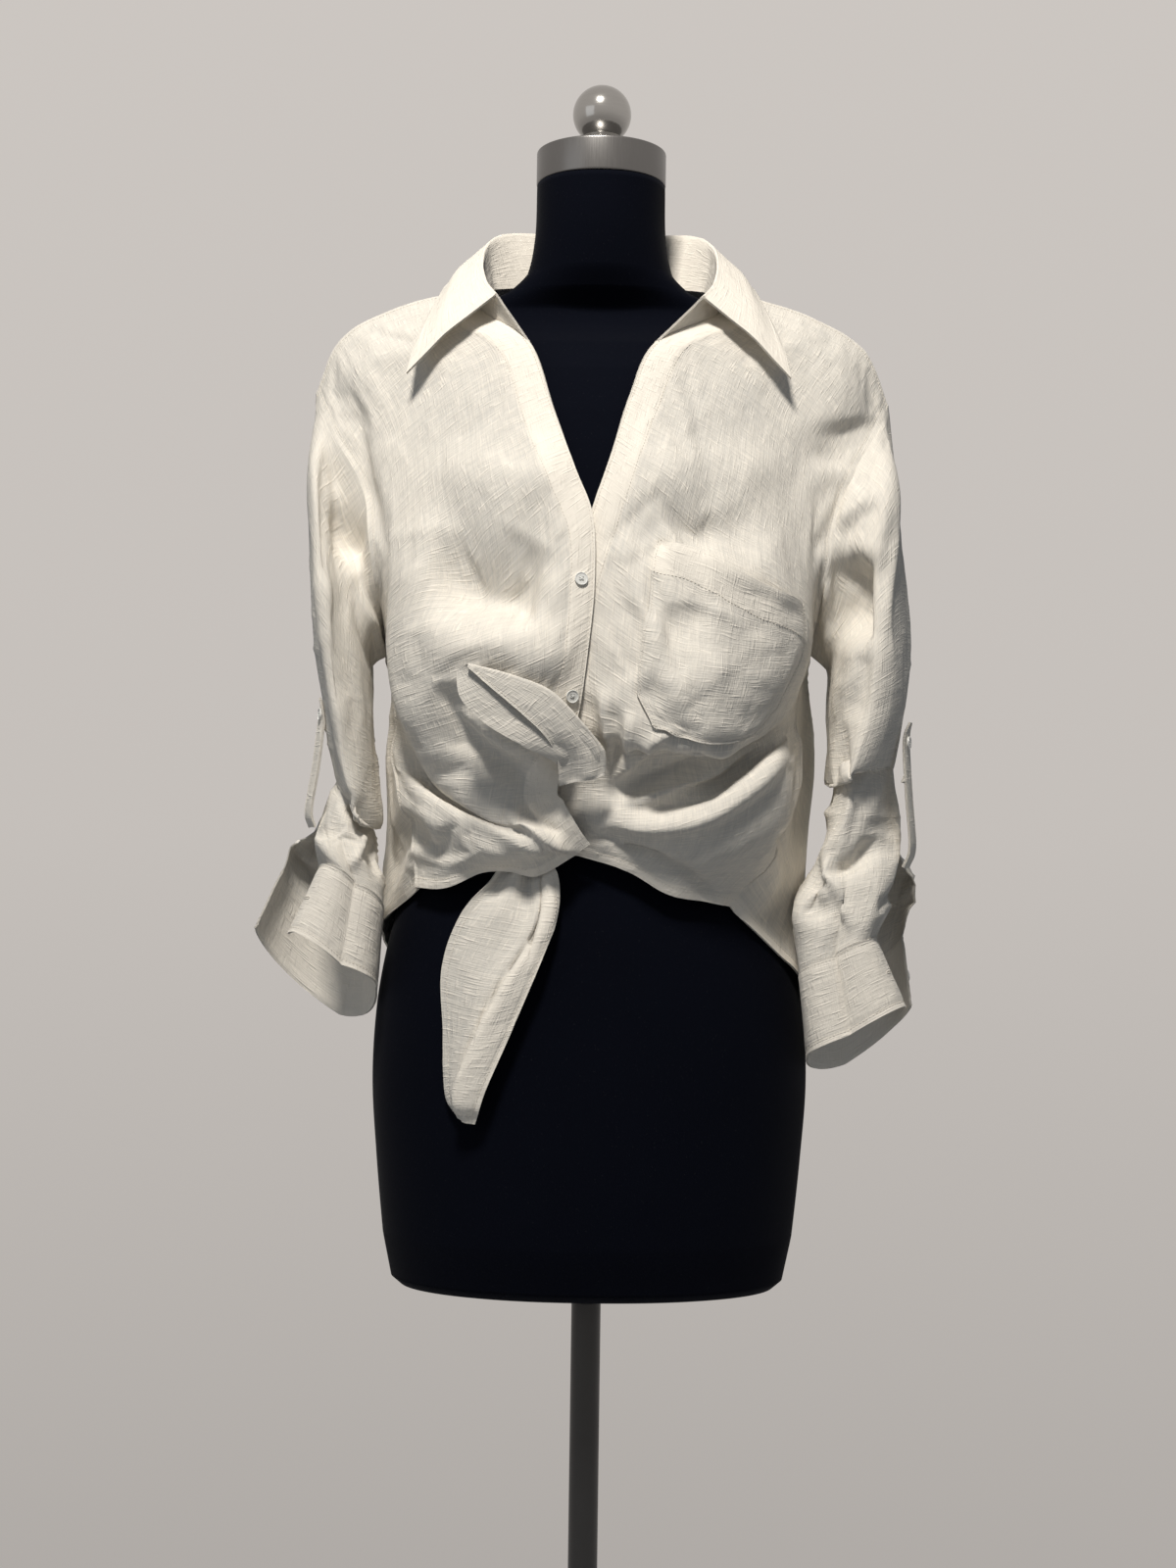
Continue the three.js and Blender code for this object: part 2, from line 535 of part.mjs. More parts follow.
// Moves points out so that they clear the nearest of the pieces under them by a gap
function layOver(grid, unders, gap) {
  grid.forEach((line) => line.forEach((point) => {
    let nearest = LAY_REACH;
    let found = null;
    unders.forEach((under) => under.grid.forEach((underLine, i) => underLine.forEach((other, j) => {
      const distance = other.distanceTo(point);
      if (distance < nearest) {
        nearest = distance;
        found = [other, under.normals[i][j]];
      }
    })));
    if (!found) return;
    const above = point.clone().sub(found[0]).dot(found[1]);
    if (above < gap) point.addScaledVector(found[1], gap - above);
  }));
}

// A closed wall round a grid of points, half its thickness to each side
function shell(piece, wall = CLOTH) {
  const { grid, facing } = piece;
  const rows = grid.length;
  const columns = grid[0].length;
  const positions = [];
  for (const side of [0.5, -0.5]) {
    grid.forEach((line, i) => line.forEach((point, j) => {
      const p = point.clone().addScaledVector(piece.normals[i][j], wall * side);
      positions.push(p.x, p.y, p.z);
    }));
  }
  const index = (side, i, j) => {
    const column = isClosed(piece, i) && j === columns - 1 ? 0 : j;
    return side * rows * columns + i * columns + column;
  };
  const faces = [];
  const quad = (a, b, c, d) => {
    if (facing > 0) faces.push(a, b, c, a, c, d);
    else faces.push(a, c, b, a, d, c);
  };
  for (let i = 0; i < rows - 1; i += 1) {
    for (let j = 0; j < columns - 1; j += 1) {
      quad(index(0, i, j), index(0, i, j + 1), index(0, i + 1, j + 1), index(0, i + 1, j));
      quad(index(1, i, j), index(1, i + 1, j), index(1, i + 1, j + 1), index(1, i, j + 1));
    }
  }
  for (let j = 0; j < columns - 1; j += 1) {
    quad(index(1, 0, j), index(1, 0, j + 1), index(0, 0, j + 1), index(0, 0, j));
    const i = rows - 1;
    quad(index(0, i, j), index(0, i, j + 1), index(1, i, j + 1), index(1, i, j));
  }
  for (let i = Math.max(piece.closedRows, 0); i < rows - 1; i += 1) {
    const j = columns - 1;
    quad(index(0, i, 0), index(0, i + 1, 0), index(1, i + 1, 0), index(1, i, 0));
    quad(index(1, i, j), index(1, i + 1, j), index(0, i + 1, j), index(0, i, j));
  }
  const geometry = new THREE.BufferGeometry();
  geometry.setAttribute('position', new THREE.Float32BufferAttribute(positions, 3));
  geometry.setIndex(faces.filter((_, n) => {
    const start = n - (n % 3);
    const [a, b, c] = faces.slice(start, start + 3);
    return a !== b && b !== c && a !== c;
  }));
  return mergeVertices(geometry, 1e-3);
}

const part = new THREE.Group();

function addMesh(name, geometry, finish) {
  geometry.computeVertexNormals();
  const mesh = new THREE.Mesh(geometry, new THREE.MeshStandardMaterial(finish));
  mesh.name = name;
  part.add(mesh);
  return mesh;
}

// Form and stand

function formGeometry() {
  const rings = FORM_SECTIONS.map((section) => {
    const ring = [];
    for (let n = 0; n < FORM_SIDES; n += 1) {
      const angle = (2 * Math.PI * n) / FORM_SIDES;
      const c = Math.cos(angle);
      const s = Math.sin(angle);
      const depth = s < 0 ? section.front : section.back;
      const power = 2 / FORM_SQUARENESS;
      ring.push([
        section.half * Math.sign(c) * Math.abs(c) ** power,
        depth * Math.sign(s) * Math.abs(s) ** power,
        section.up,
      ]);
    }
    return ring;
  });
  const positions = rings.flat().flat();
  const bottom = positions.length / 3;
  positions.push(0, 0, FORM_BOTTOM - FORM_DOME, 0, 0, FORM_TOP);
  const faces = [];
  for (let n = 0; n < FORM_SIDES; n += 1) {
    const next = (n + 1) % FORM_SIDES;
    const top = (rings.length - 1) * FORM_SIDES;
    faces.push(bottom, next, n, bottom + 1, top + n, top + next);
    for (let r = 0; r < rings.length - 1; r += 1) {
      const a = r * FORM_SIDES;
      const b = a + FORM_SIDES;
      faces.push(a + n, a + next, b + next, a + n, b + next, b + n);
    }
  }
  const geometry = new THREE.BufferGeometry();
  geometry.setAttribute('position', new THREE.Float32BufferAttribute(positions, 3));
  geometry.setIndex(faces);
  return geometry;
}

// A turned piece from its profile of [radius, up], standing along Z
function turned(profile, sides) {
  const points = profile.map(([radius, up]) => new THREE.Vector2(radius, up));
  const geometry = new THREE.LatheGeometry(points, sides);
  geometry.deleteAttribute('uv');
  geometry.deleteAttribute('normal');
  geometry.rotateX(Math.PI / 2);
  return mergeVertices(geometry, 1e-3);
}

function addBase() {
  addMesh('base', turned([
    [0, 0],
    [BASE_RADIUS - BASE_EDGE, 0],
    [BASE_RADIUS, BASE_EDGE],
    [BASE_RADIUS, BASE_HEIGHT - BASE_EDGE],
    [BASE_RADIUS - BASE_EDGE, BASE_HEIGHT],
    [SOCKET_RADIUS + SOCKET_FLARE, BASE_HEIGHT + BASE_RISE],
    [SOCKET_RADIUS, BASE_HEIGHT + BASE_RISE + SOCKET_FLARE],
    [SOCKET_RADIUS, SOCKET_TOP - CHAMFER],
    [SOCKET_RADIUS - CHAMFER, SOCKET_TOP],
    [0, SOCKET_TOP],
  ], WIDE_SIDES), BLACK_PAINT);
}

function addPole() {
  const collarTop = FORM_BOTTOM - FORM_DOME - STAND_GAP;
  const collarFoot = collarTop - POLE_COLLAR_HEIGHT;
  const poleFoot = SOCKET_TOP + STAND_GAP;
  const poleTop = collarFoot - STAND_GAP;
  addMesh('pole', turned([
    [0, poleFoot],
    [POLE_RADIUS, poleFoot],
    [POLE_RADIUS, poleTop],
    [0, poleTop],
  ], NARROW_SIDES), BLACK_PAINT);
  addMesh('pole_collar', turned([
    [0, collarFoot],
    [POLE_COLLAR_RADIUS - CHAMFER, collarFoot],
    [POLE_COLLAR_RADIUS, collarFoot + CHAMFER],
    [POLE_COLLAR_RADIUS, collarTop],
    [0, collarTop],
  ], NARROW_SIDES), STEEL);
}

function addNeckRing() {
  const foot = FORM_TOP + STAND_GAP;
  const top = foot + NECK_RING_HEIGHT;
  addMesh('neck_ring', turned([
    [0, foot],
    [NECK_RING_RADIUS, foot],
    [NECK_RING_RADIUS, top - CHAMFER],
    [NECK_RING_RADIUS - CHAMFER, top],
    [0, top],
  ], WIDE_SIDES), STEEL);
}

function addFinial() {
  const foot = FORM_TOP + NECK_RING_HEIGHT + 2 * STAND_GAP;
  const profile = [
    [0, foot],
    [FINIAL_FOOT_RADIUS, foot],
    [FINIAL_FOOT_RADIUS, foot + FINIAL_FOOT_HEIGHT],
    [FINIAL_NECK_RADIUS, foot + 2 * FINIAL_FOOT_HEIGHT],
  ];
  for (let angle = FINIAL_BALL_FROM; angle < 90; angle += FINIAL_BALL_STEP) {
    const radians = THREE.MathUtils.degToRad(angle);
    const radius = FINIAL_BALL_RADIUS * Math.cos(radians);
    profile.push([radius, FINIAL_BALL_UP + FINIAL_BALL_RADIUS * Math.sin(radians)]);
  }
  profile.push([0, FINIAL_BALL_UP + FINIAL_BALL_RADIUS]);
  addMesh('finial', turned(profile, NARROW_SIDES), POLISHED);
}

// Body panels

const PANEL_COLUMNS = FRONT_RIGHT_ROWS[0].across.length - 1;
const PANEL_ROWS = FRONT_RIGHT_ROWS.length - 1;
const PANEL_LINES = PANEL_ROWS * DOWN_STEPS;
const SHOULDER_LINES = PANEL_COLUMNS * PANEL_STEPS;
const ARMHOLE_LINES = ARMHOLE_ROWS * DOWN_STEPS;
const NECK_LINES = NECK_ROWS * DOWN_STEPS;
const BACK_SHOULDER_COLUMNS = 3;
const column = (grid, j) => grid.map((line) => line[j]);

const rightSurface = creasedSurface(FRONT_RIGHT_ROWS, FRONT_RIGHT_CREASES, 1);
const leftSurface = creasedSurface(FRONT_LEFT_ROWS, FRONT_LEFT_CREASES, -1);

function frontPiece(surface, facing) {
  const grid = gridFrom(surface, PANEL_COLUMNS, PANEL_ROWS, PANEL_STEPS, DOWN_STEPS);
  grid.forEach((line) => line.forEach((point) => keepOffForm(point, FORM_GAP + CLOTH / 2)));
  return cloth(grid, facing);
}

const frontRight = frontPiece(rightSurface, 1);
const frontLeft = frontPiece(leftSurface, -1);

function backPiece() {
  const surface = tableSurface(BACK_ROWS);
  const lastColumn = BACK_ROWS[0].across.length - 1;
  const perColumn = SHOULDER_LINES / BACK_SHOULDER_COLUMNS;
  const neckColumns = lastColumn - 2 * BACK_SHOULDER_COLUMNS;
  const stops = [];
  for (let j = 0; j < SHOULDER_LINES; j += 1) stops.push(j / perColumn);
  for (let j = 0; j < neckColumns * BACK_STEPS; j += 1) stops.push(BACK_SHOULDER_COLUMNS + j / BACK_STEPS);
  for (let j = SHOULDER_LINES; j >= 0; j -= 1) stops.push(lastColumn - j / perColumn);
  const grid = [];
  for (let i = 0; i <= PANEL_LINES; i += 1) {
    grid.push(stops.map((stop) => keepOffForm(surface(stop, i / DOWN_STEPS), FORM_GAP + CLOTH / 2)));
  }
  const columns = stops.length - 1;
  const leftShoulder = columns - SHOULDER_LINES;
  sew(grid, (n, depth) => grid[depth][n], [...frontRight.grid[0]].reverse(), SHOULDER_EASE);
  sew(grid, (n, depth) => grid[depth][leftShoulder + n], frontLeft.grid[0], SHOULDER_EASE);
  const sideRight = column(frontRight.grid, SHOULDER_LINES).slice(ARMHOLE_LINES);
  const sideLeft = column(frontLeft.grid, SHOULDER_LINES).slice(ARMHOLE_LINES);
  sew(grid, (n, depth) => grid[ARMHOLE_LINES + n][depth], sideRight, SIDE_EASE);
  sew(grid, (n, depth) => grid[ARMHOLE_LINES + n][columns - depth], sideLeft, SIDE_EASE);
  return cloth(grid, 1);
}

const back = backPiece();

// The armhole as a closed ring: down the front edge to the underarm and up the back edge
function armholeRing(front, backColumn) {
  const frontEdge = column(front.grid, front.grid[0].length - 1).slice(0, ARMHOLE_LINES + 1);
  const backEdge = column(back.grid, backColumn).slice(0, ARMHOLE_LINES);
  return [...frontEdge, ...backEdge.reverse()].map((p) => p.clone());
}

// A ring of a sleeve at even steps of angle from its outer point round by the front
function ringPoints(ring, count) {
  const end = ring.end || ring.outer;
  const corners = [ring.outer, ring.front, ring.inner, ring.back, end].map(spot);
  const outside = mix(corners[0], corners[4], 0.5);
  const centre = mix(mix(outside, corners[2], 0.5), mix(corners[1], corners[3], 0.5), 0.5);
  const points = [];
  for (let n = 0; n <= count; n += 1) {
    const quarter = Math.min(Math.floor((4 * n) / count), 3);
    const angle = ((4 * n) / count - quarter) * (Math.PI / 2);
    const from = corners[quarter].clone().sub(centre).multiplyScalar(Math.cos(angle));
    const to = corners[quarter + 1].clone().sub(centre).multiplyScalar(Math.sin(angle));
    points.push(centre.clone().add(from).add(to));
  }
  return points;
}

function tubeGrid(rings, rowSteps) {
  const grid = [];
  const columns = rings[0].length;
  for (let i = 0; i <= (rings.length - 1) * rowSteps; i += 1) {
    const line = [];
    for (let j = 0; j < columns; j += 1) {
      line.push(smoothPoint(rings.map((ring) => ring[j]), i / rowSteps));
    }
    grid.push(line);
  }
  return grid;
}

function sleevePiece(front, backColumn, table, facing) {
  const top = armholeRing(front, backColumn);
  const rings = [top, ...table.map((ring) => ringPoints(ring, top.length - 1))];
  return cloth(tubeGrid(rings, DOWN_STEPS), facing, SLIT_RING * DOWN_STEPS);
}

const sleeveRight = sleevePiece(frontRight, 0, SLEEVE_RIGHT_RINGS, -1);
const sleeveLeft = sleevePiece(frontLeft, back.grid[0].length - 1, SLEEVE_LEFT_RINGS, 1);

function cuffPiece(sleeve, table, facing) {
  const top = sleeve.grid[sleeve.grid.length - 1].map((p) => p.clone());
  const low = ringPoints(table[0], top.length - 1);
  const grid = [];
  for (let i = 0; i <= CUFF_STEPS; i += 1) grid.push(top.map((p, j) => mix(p, low[j], i / CUFF_STEPS)));
  return cloth(grid, facing);
}

const cuffRight = cuffPiece(sleeveRight, CUFF_RIGHT_RINGS, -1);
const cuffLeft = cuffPiece(sleeveLeft, CUFF_LEFT_RINGS, 1);

// Collar, from the wearer's right front corner round the back to the left one
function collarPiece() {
  const backLine = back.grid[0].slice(SHOULDER_LINES, -SHOULDER_LINES);
  const rightEdge = column(frontRight.grid, 0).slice(0, NECK_LINES + 1).reverse();
  const leftEdge = column(frontLeft.grid, 0).slice(0, NECK_LINES + 1);
  const seam = [...rightEdge.slice(0, -1), ...backLine, ...leftEdge.slice(1)].map((p) => p.clone());
  const mirrored = (list) => [-list[0], list[1], list[2]];
  const rightHalf = COLLAR_STATIONS.map((s) => ({ fold: mirrored(s.fold), edge: mirrored(s.edge) }));
  const leftHalf = [...COLLAR_STATIONS].reverse().slice(1);
  const stations = [...rightHalf, ...leftHalf];
  const folds = stations.map((s) => spot(s.fold));
  const edges = stations.map((s) => spot(s.edge));
  const last = stations.length - 1;
  const columns = seam.map((foot, n) => {
    const at = (n / (seam.length - 1)) * last;
    const fold = smoothPoint(folds, at);
    const edge = smoothPoint(edges, at);
    const outward = edge.clone().sub(fold).setZ(0).normalize();
    const stand = COLLAR_STAND_SHARES.map((share) => mix(foot, fold, share));
    const roll = fold.clone().addScaledVector(outward, COLLAR_ROLL_OUT);
    roll.z -= COLLAR_ROLL_DOWN;
    const leaf = mix(fold, edge, 0.5).addScaledVector(outward, COLLAR_LEAF_BOW);
    return [...stand, roll, mix(roll, leaf, 0.5), leaf, mix(leaf, edge, 0.5), edge];
  });
  const grid = columns[0].map((_, i) => columns.map((points) => points[i]));
  return cloth(grid, -1);
}

const collar = collarPiece();

// Parts laid on the panels

function onSurface(surface, facing, [at, row], lift) {
  const normal = surfaceNormal(surface, at, row).multiplyScalar(facing);
  return surface(at, row).addScaledVector(normal, lift);
}

function pocketPiece() {
  const { topInner, topOuter, lowInner, lowOuter } = POCKET_CORNERS;
  const blend = (a, b, t) => [a[0] + (b[0] - a[0]) * t, a[1] + (b[1] - a[1]) * t];
  const grid = [];
  for (let i = 0; i <= POCKET_FACETS; i += 1) {
    const line = [];
    const down = i / POCKET_FACETS;
    const cut = POCKET_CUT * Math.max(0, (down - POCKET_CUT_FROM) / (1 - POCKET_CUT_FROM));
    for (let j = 0; j <= POCKET_FACETS; j += 1) {
      const t = cut + (1 - 2 * cut) * (j / POCKET_FACETS);
      const at = blend(blend(topInner, topOuter, t), blend(lowInner, lowOuter, t), down);
      line.push(onSurface(leftSurface, -1, at, CLOTH + POCKET_GAP));
    }
    grid.push(line);
  }
  return cloth(grid, -1);
}

const pocket = pocketPiece();

// A folded strip from rows with three named points
function stripPiece(rows, names, facing) {
  const lines = rows.map((row) => names.map((name) => spot(row[name])));
  const grid = [];
  for (let i = 0; i <= (rows.length - 1) * DOWN_STEPS; i += 1) {
    const line = [];
    for (let j = 0; j <= (names.length - 1) * STRIP_STEPS; j += 1) {
      const across = lines.map((points) => smoothPoint(points, j / STRIP_STEPS));
      line.push(smoothPoint(across, i / DOWN_STEPS));
    }
    grid.push(line);
  }
  return cloth(grid, facing);
}

const tieEndRight = stripPiece(TIE_END_RIGHT_ROWS, ['edge', 'top', 'lower'], 1);
const tieEndLeft = stripPiece(TIE_END_LEFT_ROWS, ['left', 'ridge', 'right'], -1);
tieEndLeft.grid.forEach((line) => line.forEach((point) => keepOffForm(point, FORM_GAP + CLOTH / 2)));

function tabPiece(rows, facing) {
  const middles = rows.map((row) => spot(row.middle));
  const halves = rows.map((row) => row.half);
  const side = spot(TAB_SIDE);
  side.x *= -facing;
  const grid = [];
  for (let i = 0; i <= (rows.length - 1) * DOWN_STEPS; i += 1) {
    const middle = smoothPoint(middles, i / DOWN_STEPS);
    const half = smooth(halves, i / DOWN_STEPS);
    grid.push(TAB_LINES.map((t) => middle.clone().addScaledVector(side, t * half)));
  }
  return cloth(grid, facing);
}

const tabRight = tabPiece(TAB_RIGHT_ROWS, -1);
const tabLeft = tabPiece(TAB_LEFT_ROWS, 1);

const bodyPieces = [frontRight, frontLeft, back, sleeveRight, sleeveLeft, cuffRight, cuffLeft, collar];
const laidPieces = [pocket, tieEndRight, tieEndLeft, tabRight, tabLeft];
[...bodyPieces, ...laidPieces].forEach(setNormals);
layOver(collar.grid.slice(COLLAR_LEAF_LINE), [frontRight, frontLeft, back], LEAF_GAP);
layOver(tieEndRight.grid, [frontRight], CLOTH + TIE_GAP);
layOver(tabRight.grid, [sleeveRight], CLOTH + LAYER_GAP / 2);
layOver(tabLeft.grid, [sleeveLeft], CLOTH + LAYER_GAP / 2);
[collar, tieEndRight, tabRight, tabLeft].forEach(setNormals);
shareNormals(bodyPieces);

const underarm = [ARMHOLE_LINES, ARMHOLE_LINES + 1, ARMHOLE_LINES + 2];
drawIn(frontRight, { top: true, left: NECK_LINES, right: PANEL_LINES });
drawIn(frontLeft, { top: true, left: NECK_LINES, right: PANEL_LINES });
drawIn(back, { top: true, left: PANEL_LINES, right: PANEL_LINES });
drawIn(sleeveRight, { top: true, bottom: true, wideTop: underarm });
drawIn(sleeveLeft, { top: true, bottom: true, wideTop: underarm });
drawIn(cuffRight, { top: true });
drawIn(cuffLeft, { top: true });
drawIn(collar, { top: true });

addBase();
addPole();
addMesh('form_torso', formGeometry(), JERSEY);
addNeckRing();
addFinial();
addMesh('front_right', shell(frontRight), LINEN);
addMesh('front_left', shell(frontLeft), LINEN);
addMesh('back', shell(back), LINEN);
addMesh('collar', shell(collar), LINEN);
addMesh('sleeve_right', shell(sleeveRight), LINEN);
addMesh('sleeve_left', shell(sleeveLeft), LINEN);
addMesh('cuff_right', shell(cuffRight), LINEN);
addMesh('cuff_left', shell(cuffLeft), LINEN);
addMesh('pocket', shell(pocket), LINEN);
addMesh('tie_end_right', shell(tieEndRight), LINEN);
addMesh('tie_end_left', shell(tieEndLeft), LINEN);
addMesh('tab_right', shell(tabRight), LINEN);
addMesh('tab_left', shell(tabLeft), LINEN);

// A sew-through button, its back on the given point and its face along the given direction
function addButton(name, point, direction) {
  const shape = new THREE.Shape();
  shape.absarc(0, 0, BUTTON_RADIUS, 0, 2 * Math.PI);
  for (let n = 0; n < BUTTON_HOLES; n += 1) {
    const angle = Math.PI / 4 + (n * 2 * Math.PI) / BUTTON_HOLES;
    const hole = new THREE.Path();
    hole.absarc(BUTTON_HOLE_RING * Math.cos(angle), BUTTON_HOLE_RING * Math.sin(angle),
      BUTTON_HOLE_RADIUS, 0, 2 * Math.PI, true);
    shape.holes.push(hole);
  }
  const geometry = new THREE.ExtrudeGeometry(shape, {
    depth: BUTTON_THICKNESS, bevelEnabled: false, curveSegments: BUTTON_FACETS,
  });
  geometry.deleteAttribute('uv');
  geometry.deleteAttribute('normal');
  const mesh = addMesh(name, mergeVertices(geometry, 1e-3), PEARL);
  mesh.position.copy(point);
  mesh.quaternion.setFromUnitVectors(new THREE.Vector3(0, 0, 1), direction);
}

FRONT_BUTTONS.forEach(({ place: [at, row] }, n) => {
  const point = onSurface(rightSurface, 1, [at, row], CLOTH / 2 + LAYER_GAP / 2);
  addButton(`front_button_${n + 1}`, point, surfaceNormal(rightSurface, at, row));
});

function gridButton(name, piece, i, j, lift) {
  const normal = piece.normals[i][j].clone();
  addButton(name, piece.grid[i][j].clone().addScaledVector(normal, lift), normal);
}

const cuffButtonColumn = cuffRight.grid[0].length - 2;
gridButton('tab_button_right', tabRight, TAB_BUTTON_LINE, 1, CLOTH / 2 + STAND_GAP);
gridButton('tab_button_left', tabLeft, TAB_BUTTON_LINE, 1, CLOTH / 2 + STAND_GAP);
gridButton('cuff_button_right', cuffRight, 1, cuffButtonColumn, CLOTH / 2 + STAND_GAP);
gridButton('cuff_button_left', cuffLeft, 1, cuffButtonColumn, CLOTH / 2 + STAND_GAP);

export default part;
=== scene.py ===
"""A linen shirt, its fronts tied in a knot at the waist, worn on a dress form on a pole stand.

X runs to the wearer's left, Y to the wearer's back and Z up from the floor. The tables are in
millimetres, as across (X), forward (minus Y) and up (Z).
"""

import math

import bmesh
import bpy
import numpy as np
from mathutils import Matrix, Vector
from mathutils.bvhtree import BVHTree


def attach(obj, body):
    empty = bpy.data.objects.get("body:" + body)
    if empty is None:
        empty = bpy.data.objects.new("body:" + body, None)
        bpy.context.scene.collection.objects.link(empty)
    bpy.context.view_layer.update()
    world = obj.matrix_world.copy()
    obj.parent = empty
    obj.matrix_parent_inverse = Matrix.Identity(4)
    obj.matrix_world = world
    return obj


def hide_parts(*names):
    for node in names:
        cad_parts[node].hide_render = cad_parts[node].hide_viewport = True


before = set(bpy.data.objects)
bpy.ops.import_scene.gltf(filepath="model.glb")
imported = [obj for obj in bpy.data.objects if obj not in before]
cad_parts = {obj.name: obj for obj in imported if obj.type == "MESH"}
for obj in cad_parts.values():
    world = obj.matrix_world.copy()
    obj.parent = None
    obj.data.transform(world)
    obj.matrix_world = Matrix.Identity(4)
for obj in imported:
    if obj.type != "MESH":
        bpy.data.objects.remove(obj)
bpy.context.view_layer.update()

bl_info = {
    "name": "Knotted linen shirt",
    "version": (1, 0, 0),
    "blender": (4, 5, 0),
    "location": "3D View > Sidebar > Shirt",
    "description": "Tailors a linen shirt on a dress form, with its stand and a plain studio",
    "category": "Object",
}

MM = 0.001


def table(columns, *rows):
    """Rows of values as dicts with the columns' names; a row may leave off its last values."""
    return [dict(zip(columns.split(), row)) for row in rows]


def cell(text):
    """A cell of a text table: words, one number, several, or points with commas between them."""
    if "," in text:
        return [cell(part) for part in text.split(",")]
    try:
        numbers = [float(part) for part in text.split()]
    except ValueError:
        return text.strip()
    return numbers if len(numbers) > 1 else numbers[0]


def text_table(columns, text):
    """A table from lines of text, with bars between its columns."""
    lines = text.strip().splitlines()
    return table(columns, *([cell(part) for part in line.split("|")] for line in lines))


# Cloth and gaps, in mm
FORM_GAP = 1.4
LEAF_GAP = 3.0
POCKET_LIFT = 2.8
TIE_GAP = 3.0
TAB_GAP = 1.8

# Fine steps from one row or column of a table to the next
DOWN_STEPS = 14
PANEL_STEPS = 22
BACK_STEPS = 22
STRIP_STEPS = 12
CUFF_LINES = 26
COLLAR_STEPS = 6
POCKET_STEPS = 52

# Rows of stitches: their distance from an edge in mm, where they start and end along it, and
# how firmly they press the cloth, 1 if not given
SEAMS = table(
    "piece side inset start end press",
    *[(front, *seam) for front, hem_from in (("front_right", 0.3), ("front_left", 0.15))
      for seam in (("left", 2.5, 0.15, 0.66), ("left", 24, 0.15, 0.66), ("top", 3.5, 0, 1),
                   ("right", 6, 0, 0.31), ("right", 2, 0.32, 0.98), ("bottom", 7, hem_from, 1))],
    ("back", "bottom", 7, 0, 1), ("back", "left", 6, 0, 0.31), ("back", "right", 6, 0, 0.31),
    ("collar", "bottom", 5, 0.01, 0.99),
    *[("collar", side, 5, 0.5, 0.93) for side in ("left", "right")],
    *[(cuff, side, inset, 0, 1) for cuff in ("cuff_right", "cuff_left")
      for side, inset in (("top", 2.5), ("bottom", 4), ("left", 4), ("right", 4))],
    *[("pocket", side, 2.2, 0, 1) for side in ("left", "right", "bottom")],
    ("pocket", "top", 26, 0.02, 0.98, 0.3),
    ("tie_end_left", "left", 6, 0.1, 0.97), ("tie_end_left", "right", 4, 0.1, 0.97),
    ("tie_end_left", "bottom", 6, 0.05, 0.95), ("tie_end_right", "left", 2.5, 0.1, 0.95),
    *[(tab, side, 2, 0.04, 1) for tab in ("tab_right", "tab_left") for side in ("left", "right")])

# Bands and hems of double cloth: their width from an edge, in mm
BANDS = table(
    "piece side width",
    ("front_right", "left", 25), ("front_right", "bottom", 8), ("front_left", "left", 25),
    ("front_left", "bottom", 8), ("back", "bottom", 8), ("collar", "bottom", 400),
    ("cuff_right", "bottom", 400), ("cuff_left", "bottom", 400), ("pocket", "top", 27),
    ("tab_right", "top", 400), ("tab_left", "top", 400))
# Buttonholes: their place down and across a piece, as shares, and their length in mm
BUTTONHOLES = table(
    "piece down across length",
    ("cuff_right", 0.5, 0.045, 13), ("cuff_left", 0.5, 0.045, 13))
BUTTONHOLE_WIDTH = 1.7
# How deep a row of stitches presses the cloth, in mm, and a hem's second layer in wall thicknesses
SEAM_PRESS = 0.75
HEM_WALL = 0.7

# Rows of the tables at which the armhole, the neck and the sleeve's slit end
ARMHOLE_ROWS = 4
NECK_ROWS = 2
SLIT_RING = 8
# Lines over which a move of a sewn edge is eased out
SHOULDER_EASE = 22
SIDE_EASE = 16
RESEWN_EASE = 3

# Stand and form, in mm
BASE_RADIUS = 200
BASE_HEIGHT = 14
BASE_EDGE = 4
SOCKET_RADIUS = 19
SOCKET_TOP = 62
POLE_RADIUS = 11.5
POLE_COLLAR_RADIUS = 15.5
POLE_COLLAR_HEIGHT = 11
FORM_BOTTOM = 600
FORM_TOP = 1466
FORM_DISH = 3
FORM_SQUARENESS = 2.15
NECK_RING_RADIUS = 51.5
NECK_RING_HEIGHT = 27
FINIAL_BALL_RADIUS = 23.3
FINIAL_BALL_UP = 1525
FINIAL_NECK_RADIUS = 15
FINIAL_FOOT_RADIUS = 20
STAND_GAP = 0.5

# Where the picture is taken from, in mm and degrees, its lens, and the floor's radius in metres
EYE_ACROSS = -4
EYE_DISTANCE = 1861
EYE_UP = 924
EYE_TILT = 92.05
EYE_ROLL = 0.78
LENS = 54.1
FLOOR_RADIUS = 0.95
FLOOR_SIDES = 96

# The form's sections: half its width, and how far it reaches to the front and back
FORM_SECTIONS = table(
    "up half front back",
    (600, 146, 92, 92), (606, 153, 99, 98), (640, 160, 109, 105), (700, 166, 113, 112),
    (760, 170, 113, 117), (820, 167, 110, 114), (870, 158, 105, 105), (920, 143, 97, 92),
    (965, 126, 89, 81), (1010, 116, 87, 78), (1060, 122, 95, 84), (1110, 134, 112, 93),
    (1165, 146, 128, 102), (1220, 150, 115, 105), (1270, 158, 98, 101), (1305, 170, 80, 90),
    (1330, 182, 58, 74), (1346, 180, 36, 52), (1357, 158, 27, 43), (1364, 128, 25, 40),
    (1370, 98, 30, 43), (1379, 74, 39, 48), (1394, 58, 47, 52), (1425, 52, 51, 52),
    (1466, 51, 51, 51))

